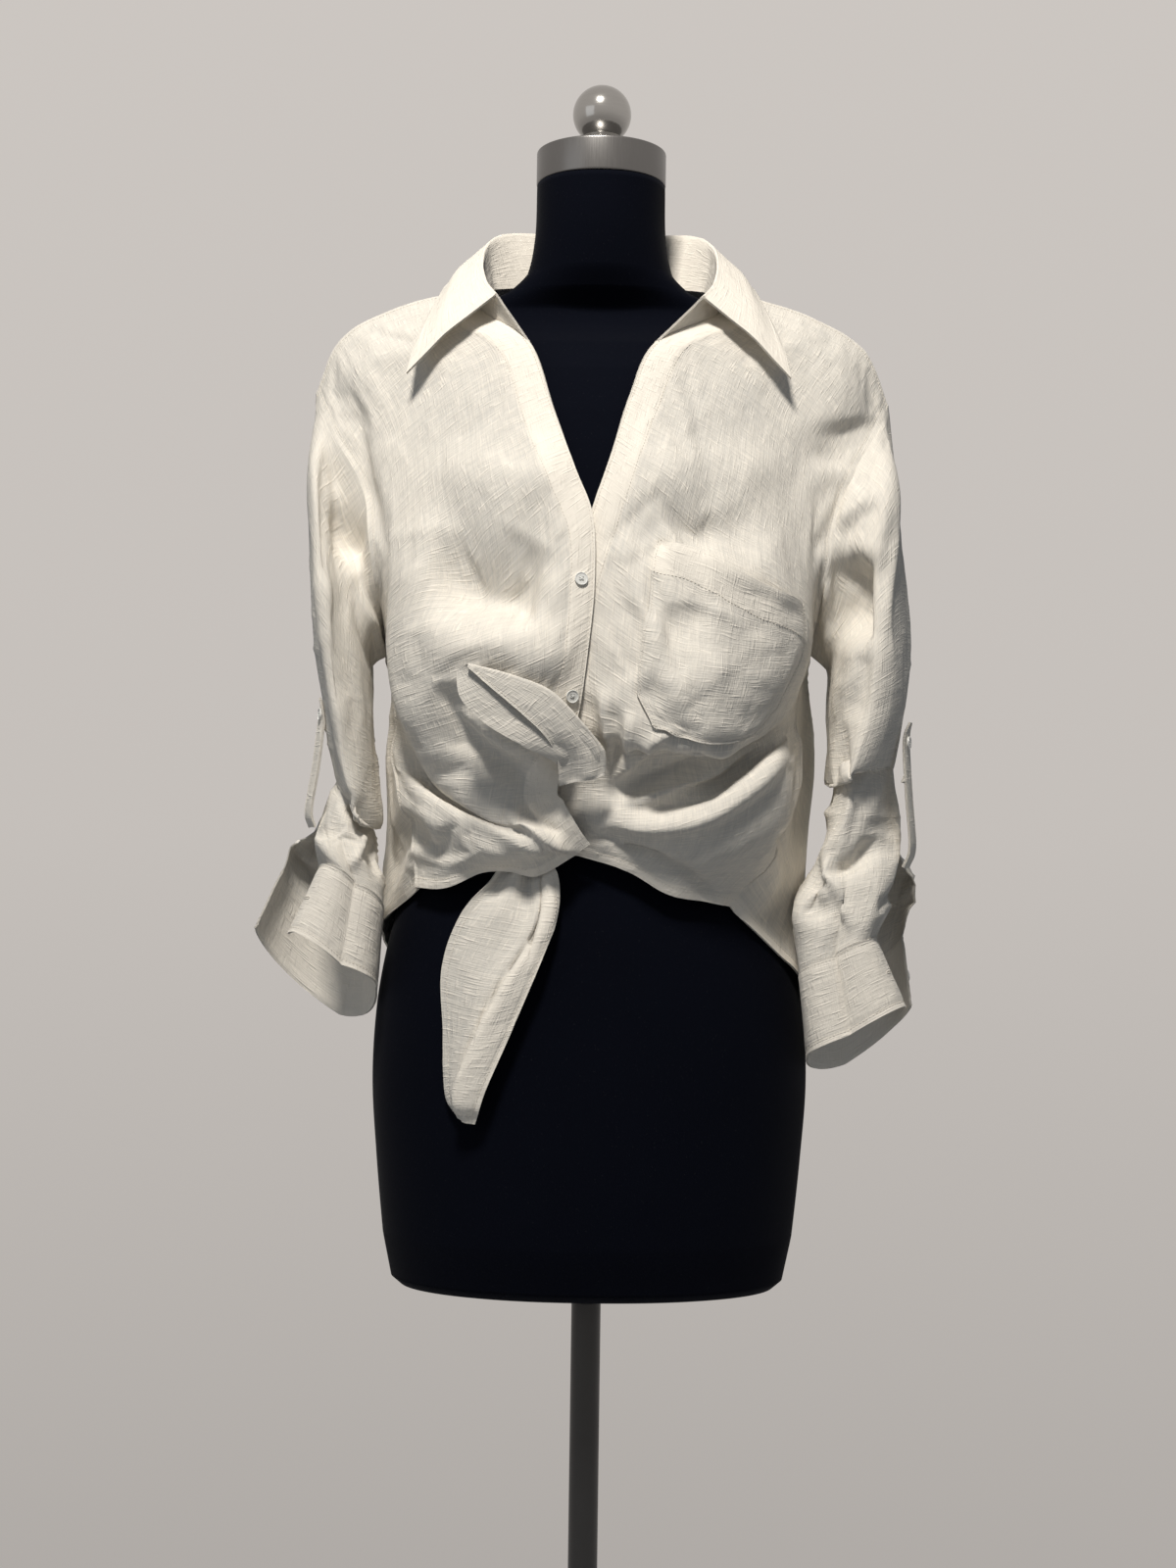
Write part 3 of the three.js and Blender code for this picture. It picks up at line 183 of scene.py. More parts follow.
# Rows of points from the opening to the side, or from the right side to the left
FRONT_RIGHT_ROWS = text_table("at across forward up", """
shoulder | -84 -122 -164 -206 -225 | -5 -5 -5 -5 -5 | 1385 1380 1367 1343 1300
neck curve | -91 -116 -150 -188 -207 | 38 42 42 38 32 | 1357 1350 1338 1308 1260
neck corner | -53 -86 -124 -161 -184 | 77 74 68 62 54 | 1325 1314 1292 1258 1214
upper chest | -33 -72 -112 -150 -170 | 103 101 96 86 62 | 1268 1248 1222 1190 1146
bust | -17 -58 -104 -148 -162 | 122 130 126 102 6 | 1222 1194 1168 1138 1098
opening foot | -3 -50 -106 -154 -154 | 133 147 142 92 12 | 1184 1144 1118 1098 1080
second button | -1 -50 -108 -147 -147 | 141 156 144 92 30 | 1132 1098 1078 1066 1062
belly | -5 -50 -104 -138 -147 | 145 157 141 96 38 | 1085 1060 1046 1040 1044
belly low | -12 -52 -96 -128 -151 | 141 149 132 92 38 | 1034 1018 1012 1016 1028
knot top | -26 -55 -90 -119 -153 | 130 135 119 84 44 | 984 984 988 998 1014
valley | -22 -54 -86 -113 -150 | 127 118 104 80 49 | 974 958 964 982 1002
band ridge | -15 -50 -86 -120 -146 | 126 124 116 98 58 | 961 938 943 963 986
band foot | -8 -44 -80 -112 -136 | 122 117 108 91 61 | 950 928 929 934 947
hem | -2 -40 -78 -110 -134 | 118 110 102 87 62 | 942 919 920 908 908
""")

FRONT_LEFT_ROWS = text_table("at across forward up", """
shoulder | 84 124 168 211 231 | -5 -5 -5 -5 -5 | 1385 1379 1366 1341 1297
neck curve | 91 117 153 193 213 | 38 42 42 38 32 | 1357 1350 1338 1308 1256
neck corner | 42 84 126 164 190 | 78 75 69 62 54 | 1325 1316 1292 1256 1212
upper chest | 23 66 112 152 176 | 99 101 96 86 62 | 1280 1254 1224 1190 1146
bust | 10 54 104 150 168 | 115 128 126 102 6 | 1234 1200 1170 1138 1098
opening foot | -4 46 104 158 161 | 125 143 138 92 14 | 1190 1150 1122 1106 1082
pocket middle | -20 44 104 158 156 | 131 155 144 84 32 | 1136 1094 1080 1086 1072
lobe | -23 42 100 146 154 | 135 156 146 88 40 | 1088 1046 1036 1058 1064
lobe foot | -22 40 94 138 153 | 133 149 140 89 44 | 1040 1016 1010 1038 1058
tuck | -28 38 92 133 152 | 122 131 119 80 46 | 1004 1013 1014 1034 1050
valley | -33 36 94 134 153 | 113 120 108 82 52 | 983 986 992 1016 1036
band ridge | -36 38 98 140 160 | 110 125 125 98 52 | 967 961 977 1002 1020
band | -36 36 92 132 152 | 106 120 121 100 60 | 953 938 940 955 966
hem | -34 22 56 86 104 | 103 109 107 98 86 | 940 924 906 900 897
""")

BACK_ROWS = text_table("at across forward up", """
shoulder | -225 -204 -144 -84 0 84 148 210 231 | -5 -5 -5 -5 -71 -5 -5 -5 -5 |\
    1300 1344 1374 1385 1404 1385 1373 1341 1297
yoke | -211 -190 -140 -76 0 76 142 194 216 | -48 -52 -68 -86 -92 -86 -68 -52 -48 |\
    1260 1306 1340 1358 1366 1358 1340 1306 1256
shoulder blade | -193 -174 -128 -66 0 66 130 178 198 | -70 -80 -98 -110 -112 -110 -98 -80 -70 |\
    1214 1256 1288 1300 1304 1300 1288 1256 1212
armhole back | -180 -166 -124 -62 0 62 124 168 184 | -66 -86 -110 -118 -119 -118 -110 -86 -66 |\
    1146 1186 1214 1226 1230 1226 1214 1186 1146
underarm | -162 -156 -122 -62 0 62 122 162 168 | 6 -70 -106 -116 -116 -116 -106 -70 6 |\
    1098 1116 1136 1148 1152 1148 1136 1116 1098
rib | -154 -153 -124 -62 0 62 124 160 161 | 12 -58 -98 -111 -110 -111 -98 -58 14 |\
    1080 1090 1104 1112 1114 1112 1104 1090 1082
waist high | -147 -152 -128 -64 0 64 128 162 156 | 30 -46 -92 -106 -106 -106 -92 -46 32 |\
    1062 1070 1076 1080 1082 1080 1076 1074 1072
waist | -147 -154 -130 -64 0 64 130 165 154 | 38 -38 -90 -104 -103 -104 -90 -38 40 |\
    1044 1048 1050 1050 1050 1050 1050 1054 1064
waist low | -151 -156 -132 -65 0 65 132 168 153 | 38 -34 -90 -104 -102 -104 -90 -34 44 |\
    1028 1028 1024 1018 1016 1018 1024 1034 1058
side ridge | -153 -158 -134 -66 0 66 134 169 152 | 44 -26 -91 -106 -104 -106 -91 -26 46 |\
    1014 1004 994 984 980 984 994 1012 1050
hip high | -150 -157 -136 -67 0 67 136 167 153 | 49 -24 -92 -110 -109 -110 -92 -24 52 |\
    1002 978 960 944 938 944 960 986 1036
hip | -146 -156 -138 -68 0 68 138 163 160 | 58 -18 -93 -115 -115 -115 -93 -20 52 |\
    986 950 920 900 892 900 920 950 1020
tail | -136 -159 -140 -70 0 70 142 162 152 | 61 -12 -94 -119 -121 -119 -92 0 60 |\
    947 916 872 848 838 848 868 900 966
hem | -134 -164 -138 -72 0 72 144 164 104 | 62 -14 -97 -124 -128 -124 -94 18 86 |\
    908 876 818 790 782 790 808 838 897
""")

# Rings round a sleeve. An end apart from the outer point leaves the ring open.
SLEEVE_RIGHT_RINGS = text_table("at outer front inner back end", """
cap | -228 4 1246 | -204 76 1178 | -178 6 1080 | -206 -72 1180
upper arm | -224 8 1184 | -200 88 1132 | -172 10 1070 | -201 -70 1134
biceps | -216 12 1116 | -194 92 1086 | -170 14 1050 | -195 -63 1088
elbow | -208 15 1062 | -188 92 1046 | -168 16 1026 | -189 -54 1046
drawn in | -199 18 1032 | -182 88 1008 | -164 18 1000 | -183 -48 1014
fold edge | -194 20 1000 | -176 88 964 | -160 22 962 | -180 -42 984
tuck | -192 24 990 | -180 76 976 | -170 26 974 | -184 -30 984
slit top | -212 32 962 | -188 78 950 | -166 34 946 | -194 -20 958
slit | -212 62 942 | -186 82 930 | -162 42 916 | -194 -8 920 | -232 20 944
cuff seam | -207 66 922 | -180 82 911 | -160 44 887 | -192 -4 870 | -243 18 920
""")

SLEEVE_LEFT_RINGS = text_table("at outer front inner back end", """
cap | 238 4 1246 | 208 76 1182 | 187 4 1082 | 208 -72 1182
upper arm | 244 8 1184 | 213 88 1140 | 187 8 1070 | 213 -70 1140
biceps | 251 12 1116 | 215 94 1092 | 184 15 1056 | 215 -64 1090
elbow | 248 15 1064 | 214 95 1046 | 185 18 1032 | 215 -56 1046
fold edge | 239 20 1014 | 199 97 1000 | 182 42 994 | 206 -46 1008
tuck | 235 24 1006 | 201 82 1014 | 187 44 1008 | 206 -34 1004
below tuck | 236 26 984 | 200 82 984 | 179 46 978 | 205 -28 984
slit top | 240 28 956 | 194 86 952 | 168 52 944 | 205 -20 956
slit | 232 60 918 | 190 90 910 | 153 54 900 | 202 -12 912 | 253 14 922
cuff seam | 216 72 874 | 184 90 862 | 158 58 846 | 200 -6 842 | 244 6 874
""")

CUFF_RIGHT_RINGS = text_table("at outer front inner back end", """
lower edge | -230 66 871 | -188 84 849 | -165 46 830 | -198 -8 806 | -262 20 874
""")

CUFF_LEFT_RINGS = text_table("at outer front inner back end", """
lower edge | 238 74 822 | 195 92 802 | 166 60 783 | 202 -8 772 | 252 6 820
""")

# The collar's upper fold and its lower edge, from the front corner to the middle of the back
COLLAR_STATIONS = text_table("at fold edge", """
front corner | 79 68 1363 | 147 74 1300
front | 88 50 1378 | 142 60 1326
side front | 92 24 1400 | 132 32 1358
side | 88 -8 1423 | 121 -4 1385
side back | 68 -48 1441 | 96 -60 1396
back | 0 -78 1447 | 0 -98 1391
""")

TIE_END_RIGHT_ROWS = text_table("at edge top lower", """
knot | -25 143 984 | 8 143 992 | -21 128 992
neck | -27 152 1003 | 5 150 1012 | -28 149 1001
swell | -35 162 1018 | -13 158 1033 | -52 162 1012
middle | -52 168 1034 | -34 164 1052 | -80 167 1028
far | -74 171 1052 | -62 168 1062 | -97 169 1046
tip | -92 172 1067 | -92 170 1070 | -100 166 1066
""")

TIE_END_LEFT_ROWS = text_table("at left ridge right", """
knot | -62 103 937 | -48 104 939 | -35 103 940
under the band | -76 99 914 | -44 103 915 | -29 103 916
swell | -98 97 889 | -46 114 882 | -31 111 888
middle | -112 92 848 | -68 117 840 | -40 115 850
narrow | -110 95 800 | -84 116 798 | -58 116 803
low | -108 98 756 | -96 114 760 | -76 115 760
tip | -98 103 738 | -92 112 735 | -84 112 734
""")

TAB_RIGHT_ROWS = text_table("at middle half", """
point | -208 40 1054 | 3
button | -210 42 1040 | 9
middle | -214 44 1000 | 10
low | -219 44 966 | 10
turn | -216 44 953 | 10
""")

TAB_LEFT_ROWS = text_table("at middle half", """
point | 244 44 1040 | 3
button | 241 46 1024 | 9
middle | 243 48 984 | 10
low | 246 48 944 | 10
turn | 241 48 928 | 10
""")

# Folds as seen from the front or the back: their height and width in mm, whether they are crisp
# and on which side they are steep, and the line that they follow, as (across, up)
FRONT_FOLDS = text_table("at height width style line", """
right breast swell | 6 | 26 | soft | -150 1232, -100 1240, -50 1236, -10 1228
under the right breast | -15 | 25 | soft | -150 1150, -105 1148, -62 1140, -30 1130
right blouse | 5 | 22 | soft | -104 1112, -78 1104, -44 1092, -16 1078
right swag ridge | 6 | 16 | below | -166 1124, -152 1066, -126 1010, -92 975, -48 954, -14 946
right swag hollow | -9 | 18 | soft | -134 1096, -118 1056, -92 1016, -58 990, -26 972
left breast swell | 5 | 26 | soft | 20 1236, 70 1246, 120 1244, 160 1234
under the left breast | -6 | 20 | soft | 14 1184, 60 1200, 104 1196, 140 1176
right armhole hollow | -6 | 12 | soft | -205 1318, -193 1273, -186 1227, -182 1184
right shoulder ridge | 1.4 | 20 | soft | -175 1273, -150 1234, -128 1219
right side drag | 1.2 | 9 | crisp below | -168 1184, -139 1192, -108 1200
right side drag below | -1.4 | 12 | soft | -162 1161, -128 1180, -93 1192
right breast hollow | -13 | 30 | soft | -142 1184, -95 1166, -34 1156
pull to first button | 1.8 | 9 | crisp below | -85 1205, -58 1190, -29 1174
under the pull | -1.6 | 9 | soft | -70 1182, -46 1169, -23 1163
hollow above second button | -3 | 15 | soft | -69 1138, -46 1122, -24 1116
right breast low | 2.5 | 16 | soft | -112 1153, -77 1130, -45 1099
right belly drag | -3 | 10 | soft | -131 1046, -98 1016, -62 995, -32 986
right belly ridge | 3 | 10 | below | -120 1055, -86 1025, -50 1004
knot pleat | 5 | 8 | crisp below | -69 972, -47 952, -26 940, -8 936
knot pleat valley | -3.4 | 5 | soft | -62 976, -44 961, -20 948
right band roll | 6 | 12 | below | -158 1037, -143 995, -118 969, -79 949, -47 939, -14 936
right band valley | -5 | 7 | soft | -149 1046, -134 1004, -107 974, -71 957
right side gather | -4 | 7 | soft | -148 972, -136 954, -130 936
right side gather ridge | 2.4 | 6 | soft | -138 976, -126 960, -124 939
right hem ripple | -2.5 | 6 | soft | -106 909, -97 917, -76 921, -43 919
right hem swell | 1.8 | 10 | soft | -130 924, -100 930, -61 928
pull from the buttons | -2.6 | 11 | crisp | 3 1172, 15 1190, 35 1211, 65 1236
pull ridge | 1.2 | 12 | below | 12 1165, 39 1182, 70 1200
left breast shade | -4.5 | 24 | soft | 62 1184, 85 1200, 108 1207
left armhole hollow | -4.5 | 20 | soft | 197 1290, 197 1265, 189 1242
left armhole drag | -2.5 | 14 | soft | 185 1246, 178 1207, 171 1169
left chest line | 0.6 | 12 | soft | 100 1231, 131 1246, 166 1252
beside the buttons | -2.2 | 12 | soft | 12 1153, 17 1107, 10 1052
beside the pocket | -2.6 | 9 | soft | 28 1145, 33 1111, 29 1068
pocket edge swell | 2 | 7 | soft | 40 1138, 46 1107, 39 1060
gather one | -3 | 6 | soft | -6 1068, -1 1033, 10 998
gather two | 4 | 6 | crisp left | 4 1072, 10 1029, 14 996
gather three | -3 | 6 | soft | 13 1060, 18 1022, 16 996
gather four | 4 | 7 | left | 29 1052, 26 1022, 20 998
bundle roll one | 5 | 9 | crisp below | 11 988, 27 1004, 50 1025, 71 1037
bundle valley one | -5 | 7 | soft | 15 982, 39 989, 69 1004, 98 1019
bundle roll two | 5 | 10 | below | 18 974, 51 980, 84 995, 110 1013, 125 1025
bundle valley two | -5 | 8 | soft | 22 966, 51 972, 87 983, 113 1004, 140 1028
band roll | 7 | 14 | below | -8 952, 16 960, 43 955, 81 960, 111 977, 137 1001, 155 1034, 166 1058
band under fold | -2.6 | 5 | soft | -8 950, 16 947, 40 936
hem strip line | -5 | 9 | crisp above | 4 939, 40 940, 79 921, 109 900
left side crumple | -2.5 | 6 | soft | 141 954, 156 948, 165 954
left side crumple ridge | 2 | 6 | soft | 144 939, 156 936, 162 942
left side fold | -2.5 | 9 | left | 160 1055, 169 1031, 167 1001
""")

POCKET_FOLDS = text_table("at height width style line", """
upper ridge | 3 | 12 | crisp below | 45 1130, 70 1134, 94 1126, 121 1109
upper hollow | -5 | 18 | soft | 47 1112, 71 1118, 92 1122
middle swell | 3.0 | 22 | below | 52 1051, 83 1068, 110 1095
lower hollow | -2.2 | 16 | soft | 99 1031, 122 1052, 133 1076
lower knob | 1.4 | 10 | soft | 110 1052, 124 1060, 133 1052
side drag | -2.4 | 8 | soft | 148 1145, 150 1114, 143 1080
inner drag | -2 | 8 | soft | 42 1107, 46 1072, 39 1041
""")

SLEEVE_FOLDS = text_table("at height width style line", """
right cap hollow | -12 | 16 | soft | -206 1276, -200 1232, -190 1190, -182 1150
left forearm hollow | -9 | 20 | soft | 214 1180, 212 1140, 206 1096
left cap hollow | -6 | 12 | soft | 196 1282, 196 1254, 190 1226
right flat crease | 4 | 8 | crisp right | -212 1211, -196 1169, -175 1114, -161 1060, -155 998
right inner hollow | -11 | 11 | soft | -201 1228, -188 1161, -172 1118
right outer line | -1.8 | 6 | soft | -217 1285, -216 1227, -212 1149
right forearm hollow | -2.4 | 14 | soft | -206 1151, -200 1099, -189 1042
right elbow swell | 1.6 | 10 | soft | -216 1166, -212 1130, -205 1091
right under the fold | -4 | 7 | soft | -198 980, -180 970, -170 949
right fold at slit | 4 | 5 | crisp | -180 957, -182 939, -192 918
right wrist ridge | -3 | 7 | soft | -170 962, -167 939, -169 908
left hollow | -9 | 20 | soft | 205 1186, 206 1153, 199 1107
left inner ridge | 3.5 | 8 | crisp left | 178 1192, 183 1149, 178 1103
left drag | 4 | 12 | below | 224 1231, 201 1207, 178 1196
left outer crease | 2 | 6 | crisp | 237 1273, 240 1215, 239 1161, 236 1099
left light ridge | 3 | 5 | soft | 186 1166, 188 1125, 186 1089
left elbow hollow | -3.4 | 12 | soft | 218 1112, 216 1073, 208 1042
left lower ridge | 5 | 8 | crisp left | 190 949, 184 929, 195 905, 208 871
left lower hollow | -6 | 8 | soft | 220 962, 216 944, 202 933, 192 922
left wrist swell | 3 | 12 | soft | 158 944, 153 918, 164 867
left wrist valley | -3 | 10 | soft | 174 949, 171 918, 182 877
""")

BACK_FOLDS = text_table("at height width style line", """
right blade to spine | -7 | 22 | soft | -110 1230, -90 1120, -60 1040
left blade to spine | -4 | 24 | soft | 100 1240, 86 1130, 64 1050
waist roll | 7 | 15 | below | -150 1000, -90 1030, -20 1045
below the waist roll | -4 | 12 | soft | -150 970, -80 985, 0 1000
left waist roll | 6 | 15 | below | 150 1010, 96 1040, 30 1050
below the left roll | -4 | 13 | soft | 150 980, 90 1000, 20 1010
right tail flute | -4 | 14 | soft | -60 960, -50 880, -64 800
middle tail flute | 4 | 16 | soft | 20 980, 34 890, 22 800
left tail flute | -4 | 14 | soft | 90 960, 80 880, 96 810
outer tail flute | 3 | 12 | soft | -110 950, -116 880, -104 830
spine | -2 | 20 | soft | 0 1340, 4 1260, -2 1180
""")

# The collar's section, in mm: the stand's lines, the roll at the fold, and the leaf and its start
COLLAR_STAND_SHARES = (0, 0.35, 0.72, 1)
COLLAR_ROLL_OUT = 3.4
COLLAR_ROLL_DOWN = 2.2
COLLAR_LEAF_BOW = 5
COLLAR_LEAF_LINE = 5

# Which way the right tab lies across its sleeve
TAB_SIDE = (0.35, -0.94, 0)

# The pocket's corners on the left front, as (column, row) of its table, and how they are cut off
POCKET_CORNERS = {"top inner": (0.96, 4.66), "top outer": (2.98, 4.4),
                  "low inner": (0.78, 7.5), "low outer": (2.66, 7.6)}
POCKET_CUT = 0.14
POCKET_CUT_FROM = 0.84

# The front buttons as (column, row), and how far round its cuff the cuff's button sits
FRONT_BUTTONS = ((0.22, 5.78), (0.2, 7.62))
CUFF_BUTTON_SHARE = 0.965

# Seeds of the crumple, and how deep the cloth's own long folds hang: lengthwise on the back,
# crosswise on the sleeves
SEEDS = {"right": 11, "left": 12, "back": 31, "sleeve right": 51, "sleeve left": 52,
         "tie right": 61, "tie left": 62, "collar": 63, "cuff right": 64, "cuff left": 65,
         "pocket": 77}
BACK_HANG = -2.4
SLEEVE_HANG = 3.4

# Settling: how firmly the cloth keeps its place, how much of the extra cloth each piece takes,
# the knot's middle (across, up) and the farthest move
BASE_HOLD = 0.04
EXTRA_CLOTH = {"right": 0.35, "left": 0.4, "back": 0.7, "sleeve_right": 1.0, "sleeve_left": 1.0}
KNOT_PLACE = (-8, 968)
SETTLE_CAP = 9


# Smooth tables

def smooth(values, at):
    """Values at fractional places of a list, on one smooth curve through all of them."""
    values = np.asarray(values, float)
    at = np.asarray(at, float)
    last = len(values) - 1
    i = np.clip(np.floor(at).astype(int), 0, last - 1)
    shape = (-1,) + (1,) * (values.ndim - 1)
    t = (at - i).reshape(shape)
    a, b = values[i], values[i + 1]
    before = np.where((i > 0).reshape(shape), values[np.maximum(i - 1, 0)], 2 * a - b)
    after = np.where((i + 2 <= last).reshape(shape), values[np.minimum(i + 2, last)], 2 * b - a)
    start, end = (b - before) / 2, (after - a) / 2
    t2, t3 = t * t, t ** 3
    return ((2 * t3 - 3 * t2 + 1) * a + (t3 - 2 * t2 + t) * start
            + (3 * t2 - 2 * t3) * b + (t3 - t2) * end)


def steps(count, per):
    return np.arange(count * per + 1) / per


def place(across, forward, up):
    return np.array((across, -forward, up), float)


def table_points(rows):
    return np.array([[place(*p) for p in zip(r["across"], r["forward"], r["up"])] for r in rows])


def panel_grid(rows, columns, lines):
    """A panel's points in mm, at fractional columns and lines of its table."""
    down = smooth(table_points(rows), lines)
    return np.swapaxes(smooth(np.swapaxes(down, 0, 1), columns), 0, 1).copy()


def unit(vectors):
    length = np.linalg.norm(vectors, axis=-1, keepdims=True)
    return vectors / np.maximum(length, 1e-9)


def ease(t):
    t = np.clip(t, 0, 1)
    return t * t * (3 - 2 * t)


def sample(field, lines, columns):
    """A grid's values at fractional lines and columns."""
    lines = np.clip(lines, 0, field.shape[0] - 1.001)
    columns = np.clip(columns, 0, field.shape[1] - 1.001)
    i, j = lines.astype(int), columns.astype(int)
    s, t = (lines - i)[..., None], (columns - j)[..., None]
    top = field[i, j] * (1 - t) + field[i, j + 1] * t
    low = field[i + 1, j] * (1 - t) + field[i + 1, j + 1] * t
    return top * (1 - s) + low * s


# The form

SECTION_UPS = np.array([s["up"] for s in FORM_SECTIONS], float)


def form_size(up, key):
    at = np.interp(up, SECTION_UPS, np.arange(len(SECTION_UPS)))
    return smooth([s[key] for s in FORM_SECTIONS], np.ravel(at)).reshape(np.shape(up))


def form_reach(points, gap=0.0):
    """How many times as far from the axis as the form's surface a point lies."""
    up = np.clip(points[..., 2], FORM_BOTTOM, FORM_TOP)
    depth = np.where(points[..., 1] < 0, form_size(up, "front"), form_size(up, "back")) + gap
    half = form_size(up, "half") + gap
    power = FORM_SQUARENESS
    across, forward = np.abs(points[..., 0]) / half, np.abs(points[..., 1]) / depth
    return (across ** power + forward ** power) ** (1 / power)


def keep_off_form(points, gap):
    reach = form_reach(points, gap)
    inside = (reach < 1) & (reach > 0.2)
    scale = np.where(inside, 1 / np.maximum(reach, 0.2), 1.0)
    points[..., 0] *= scale
    points[..., 1] *= scale
    return points


def off_form(points):
    """About how far points stand off the form, in mm."""
    reach = form_reach(points)
    return (1 - 1 / np.maximum(reach, 0.5)) * np.hypot(points[..., 0], points[..., 1])


# Folds

def front_view(points, side=1):
    """Where points appear from the front, or from the back, in mm in the plane of the axis."""
    scale = EYE_DISTANCE / (EYE_DISTANCE + side * points[..., 1])
    across = side * (EYE_ACROSS + (points[..., 0] - EYE_ACROSS) * scale)
    return np.stack([across, EYE_UP + (points[..., 2] - EYE_UP) * scale], -1)


# The axis and direction of a fold's steep side, and how much steeper it is there
STEEP_SIDES = {"below": (1, -1), "above": (1, 1), "left": (0, -1), "right": (0, 1)}
STEEPER = 2.8
FOLD_END = 0.3


def fold_height(flat, folds):
    """Height of the folds over a flat view: soft or crisp lines that die out at their ends."""
    total = np.zeros(flat.shape[:-1])
    for fold in folds:
        line = np.array(fold["line"], float)
        line = smooth(line, steps(len(line) - 1, 4))
        lengths = np.linalg.norm(np.diff(line, axis=0), axis=1)
        whole = lengths.sum()
        nearest = np.full(total.shape, 1e9)
        aside = np.zeros(flat.shape)
        along = np.zeros(total.shape)
        run = 0.0
        for a, b, length in zip(line[:-1], line[1:], lengths):
            t = np.clip(((flat - a) @ (b - a)) / max(length ** 2, 1e-9), 0, 1)
            offset = flat - (a + t[..., None] * (b - a))
            gap = np.linalg.norm(offset, axis=-1)
            closer = gap < nearest
            aside = np.where(closer[..., None], offset, aside)
            nearest = np.where(closer, gap, nearest)
            along = np.where(closer, (run + t * length) / whole, along)
            run += length
        taper = ease(along / FOLD_END) * ease((1 - along) / FOLD_END)
        s = nearest / fold["width"]
        for side, (axis, sign) in STEEP_SIDES.items():
            if side in fold["style"]:
                s = np.where(sign * aside[..., axis] > 0, s * STEEPER, s)
        if "crisp" in fold["style"]:
            profile = np.exp(-(np.sqrt(s * s + 0.04) - 0.2) * 1.5)
        else:
            profile = np.exp(-s * s)
        total += fold["height"] * taper * profile
    return total


def lattice(across, along, seed, size=97):
    """Smooth noise from 0 to 1 on a grid of random values."""
    values = np.random.default_rng(seed).random((size, size))
    i, j = np.floor(across).astype(int), np.floor(along).astype(int)
    s, t = ease(across - i), ease(along - j)
    i0, i1, j0, j1 = i % size, (i + 1) % size, j % size, (j + 1) % size
    low = values[i0, j0] * (1 - s) + values[i1, j0] * s
    high = values[i0, j1] * (1 - s) + values[i1, j1] * s
    return low * (1 - t) + high * t


def crumple(across, along, seed):
    """Creases of worn linen, about -1 to 1: ridges between flat facets, on two scales."""
    bend = 14 * lattice(across / 60, along / 60, seed)
    total = np.zeros(across.shape)
    for size, share, turn in ((46, 0.6, 0.5), (24, 0.4, -0.7), (92, 0.8, 1.1)):
        u = (across * math.cos(turn) - along * math.sin(turn) + bend) / size
        v = (across * math.sin(turn) + along * math.cos(turn) - bend) / (size * 1.5)
        ridge = 1 - np.abs(2 * lattice(u, v, seed + size) - 1)
        total += share * (ridge ** 2 - 0.4)
    return total


# Cut pieces

class Cloth:
    """A cut piece of cloth: its points in mm, which side is out, and where a tube stops."""

    def __init__(self, grid, facing, closed=-1):
        self.grid = grid
        self.facing = facing
        self.closed = closed
        self.layers = np.zeros(grid.shape[:2])
        self.set_normals()

    def is_closed(self):
        return np.arange(len(self.grid)) <= self.closed

    def set_normals(self):
        g = self.grid
        closed = self.is_closed()[:, None, None]
        right = np.concatenate([g[:, 1:], np.where(closed, g[:, 1:2], g[:, -1:])], 1)
        left = np.concatenate([np.where(closed, g[:, -2:-1], g[:, :1]), g[:, :-1]], 1)
        down = np.concatenate([g[1:], g[-1:]], 0) - np.concatenate([g[:1], g[:-1]], 0)
        self.normals = unit(np.cross(right - left, down)) * self.facing

    def raise_by(self, heights):
        self.grid = self.grid + self.normals * heights[..., None]
        self.set_normals()

    def runs(self):
        """Lengths in mm along each line and down each column."""
        zero = np.zeros((len(self.grid), 1))
        across = np.cumsum(np.hstack([zero, np.linalg.norm(np.diff(self.grid, axis=1), axis=2)]), 1)
        zero = np.zeros((1, self.grid.shape[1]))
        down = np.cumsum(np.vstack([zero, np.linalg.norm(np.diff(self.grid, axis=0), axis=2)]), 0)
        return across, down

    def cloth_map(self):
        """The weave's own coordinates in mm: the mean run across and down."""
        across, down = self.runs()
        u = across.mean(0)
        v = down.mean(1)
        return np.broadcast_to(u, across.shape), np.broadcast_to(v[:, None], down.shape)

    def from_edge(self, side):
        across, down = self.runs()
        return {"left": across, "right": across[:, -1:] - across,
                "top": down, "bottom": down[-1:] - down}[side]

    def cut_size(self):
        across, down = self.runs()
        return across[:, -1].mean() * MM, down[-1].mean() * MM

    def area(self):
        g = self.grid
        one = np.cross(g[1:, :-1] - g[:-1, :-1], g[:-1, 1:] - g[:-1, :-1])
        two = np.cross(g[1:, :-1] - g[1:, 1:], g[:-1, 1:] - g[1:, 1:])
        return (np.linalg.norm(one, axis=2).sum() + np.linalg.norm(two, axis=2).sum()) / 2 * MM ** 2


def sew(grid, line, targets, reach):
    """Moves an edge onto given points and eases the move out over some lines."""
    move = targets - line(grid, 0)
    for depth in range(reach + 1):
        share = (1 + math.cos(math.pi * depth / (reach + 1))) / 2
        line(grid, depth)[...] += move * share


def edge_points(piece):
    g, n = piece.grid, piece.normals
    rows = [(0, slice(None)), (-1, slice(None)), (slice(None), 0), (slice(None), -1)]
    return [(g[r], n[r]) for r in rows]


def share_normals(pieces):
    """Pieces that share seam points get one normal there, so that their edges meet."""
    sums = {}
    edges = [edge for piece in pieces for edge in edge_points(piece)]
    for points, normals in edges:
        for key, normal in zip(map(tuple, np.round(points, 2)), normals):
            sums[key] = sums.get(key, 0) + normal
    for points, normals in edges:
        for k, key in enumerate(map(tuple, np.round(points, 2))):
            total = np.linalg.norm(sums[key])
            if total > 0.3:
                normals[k] = sums[key] / total


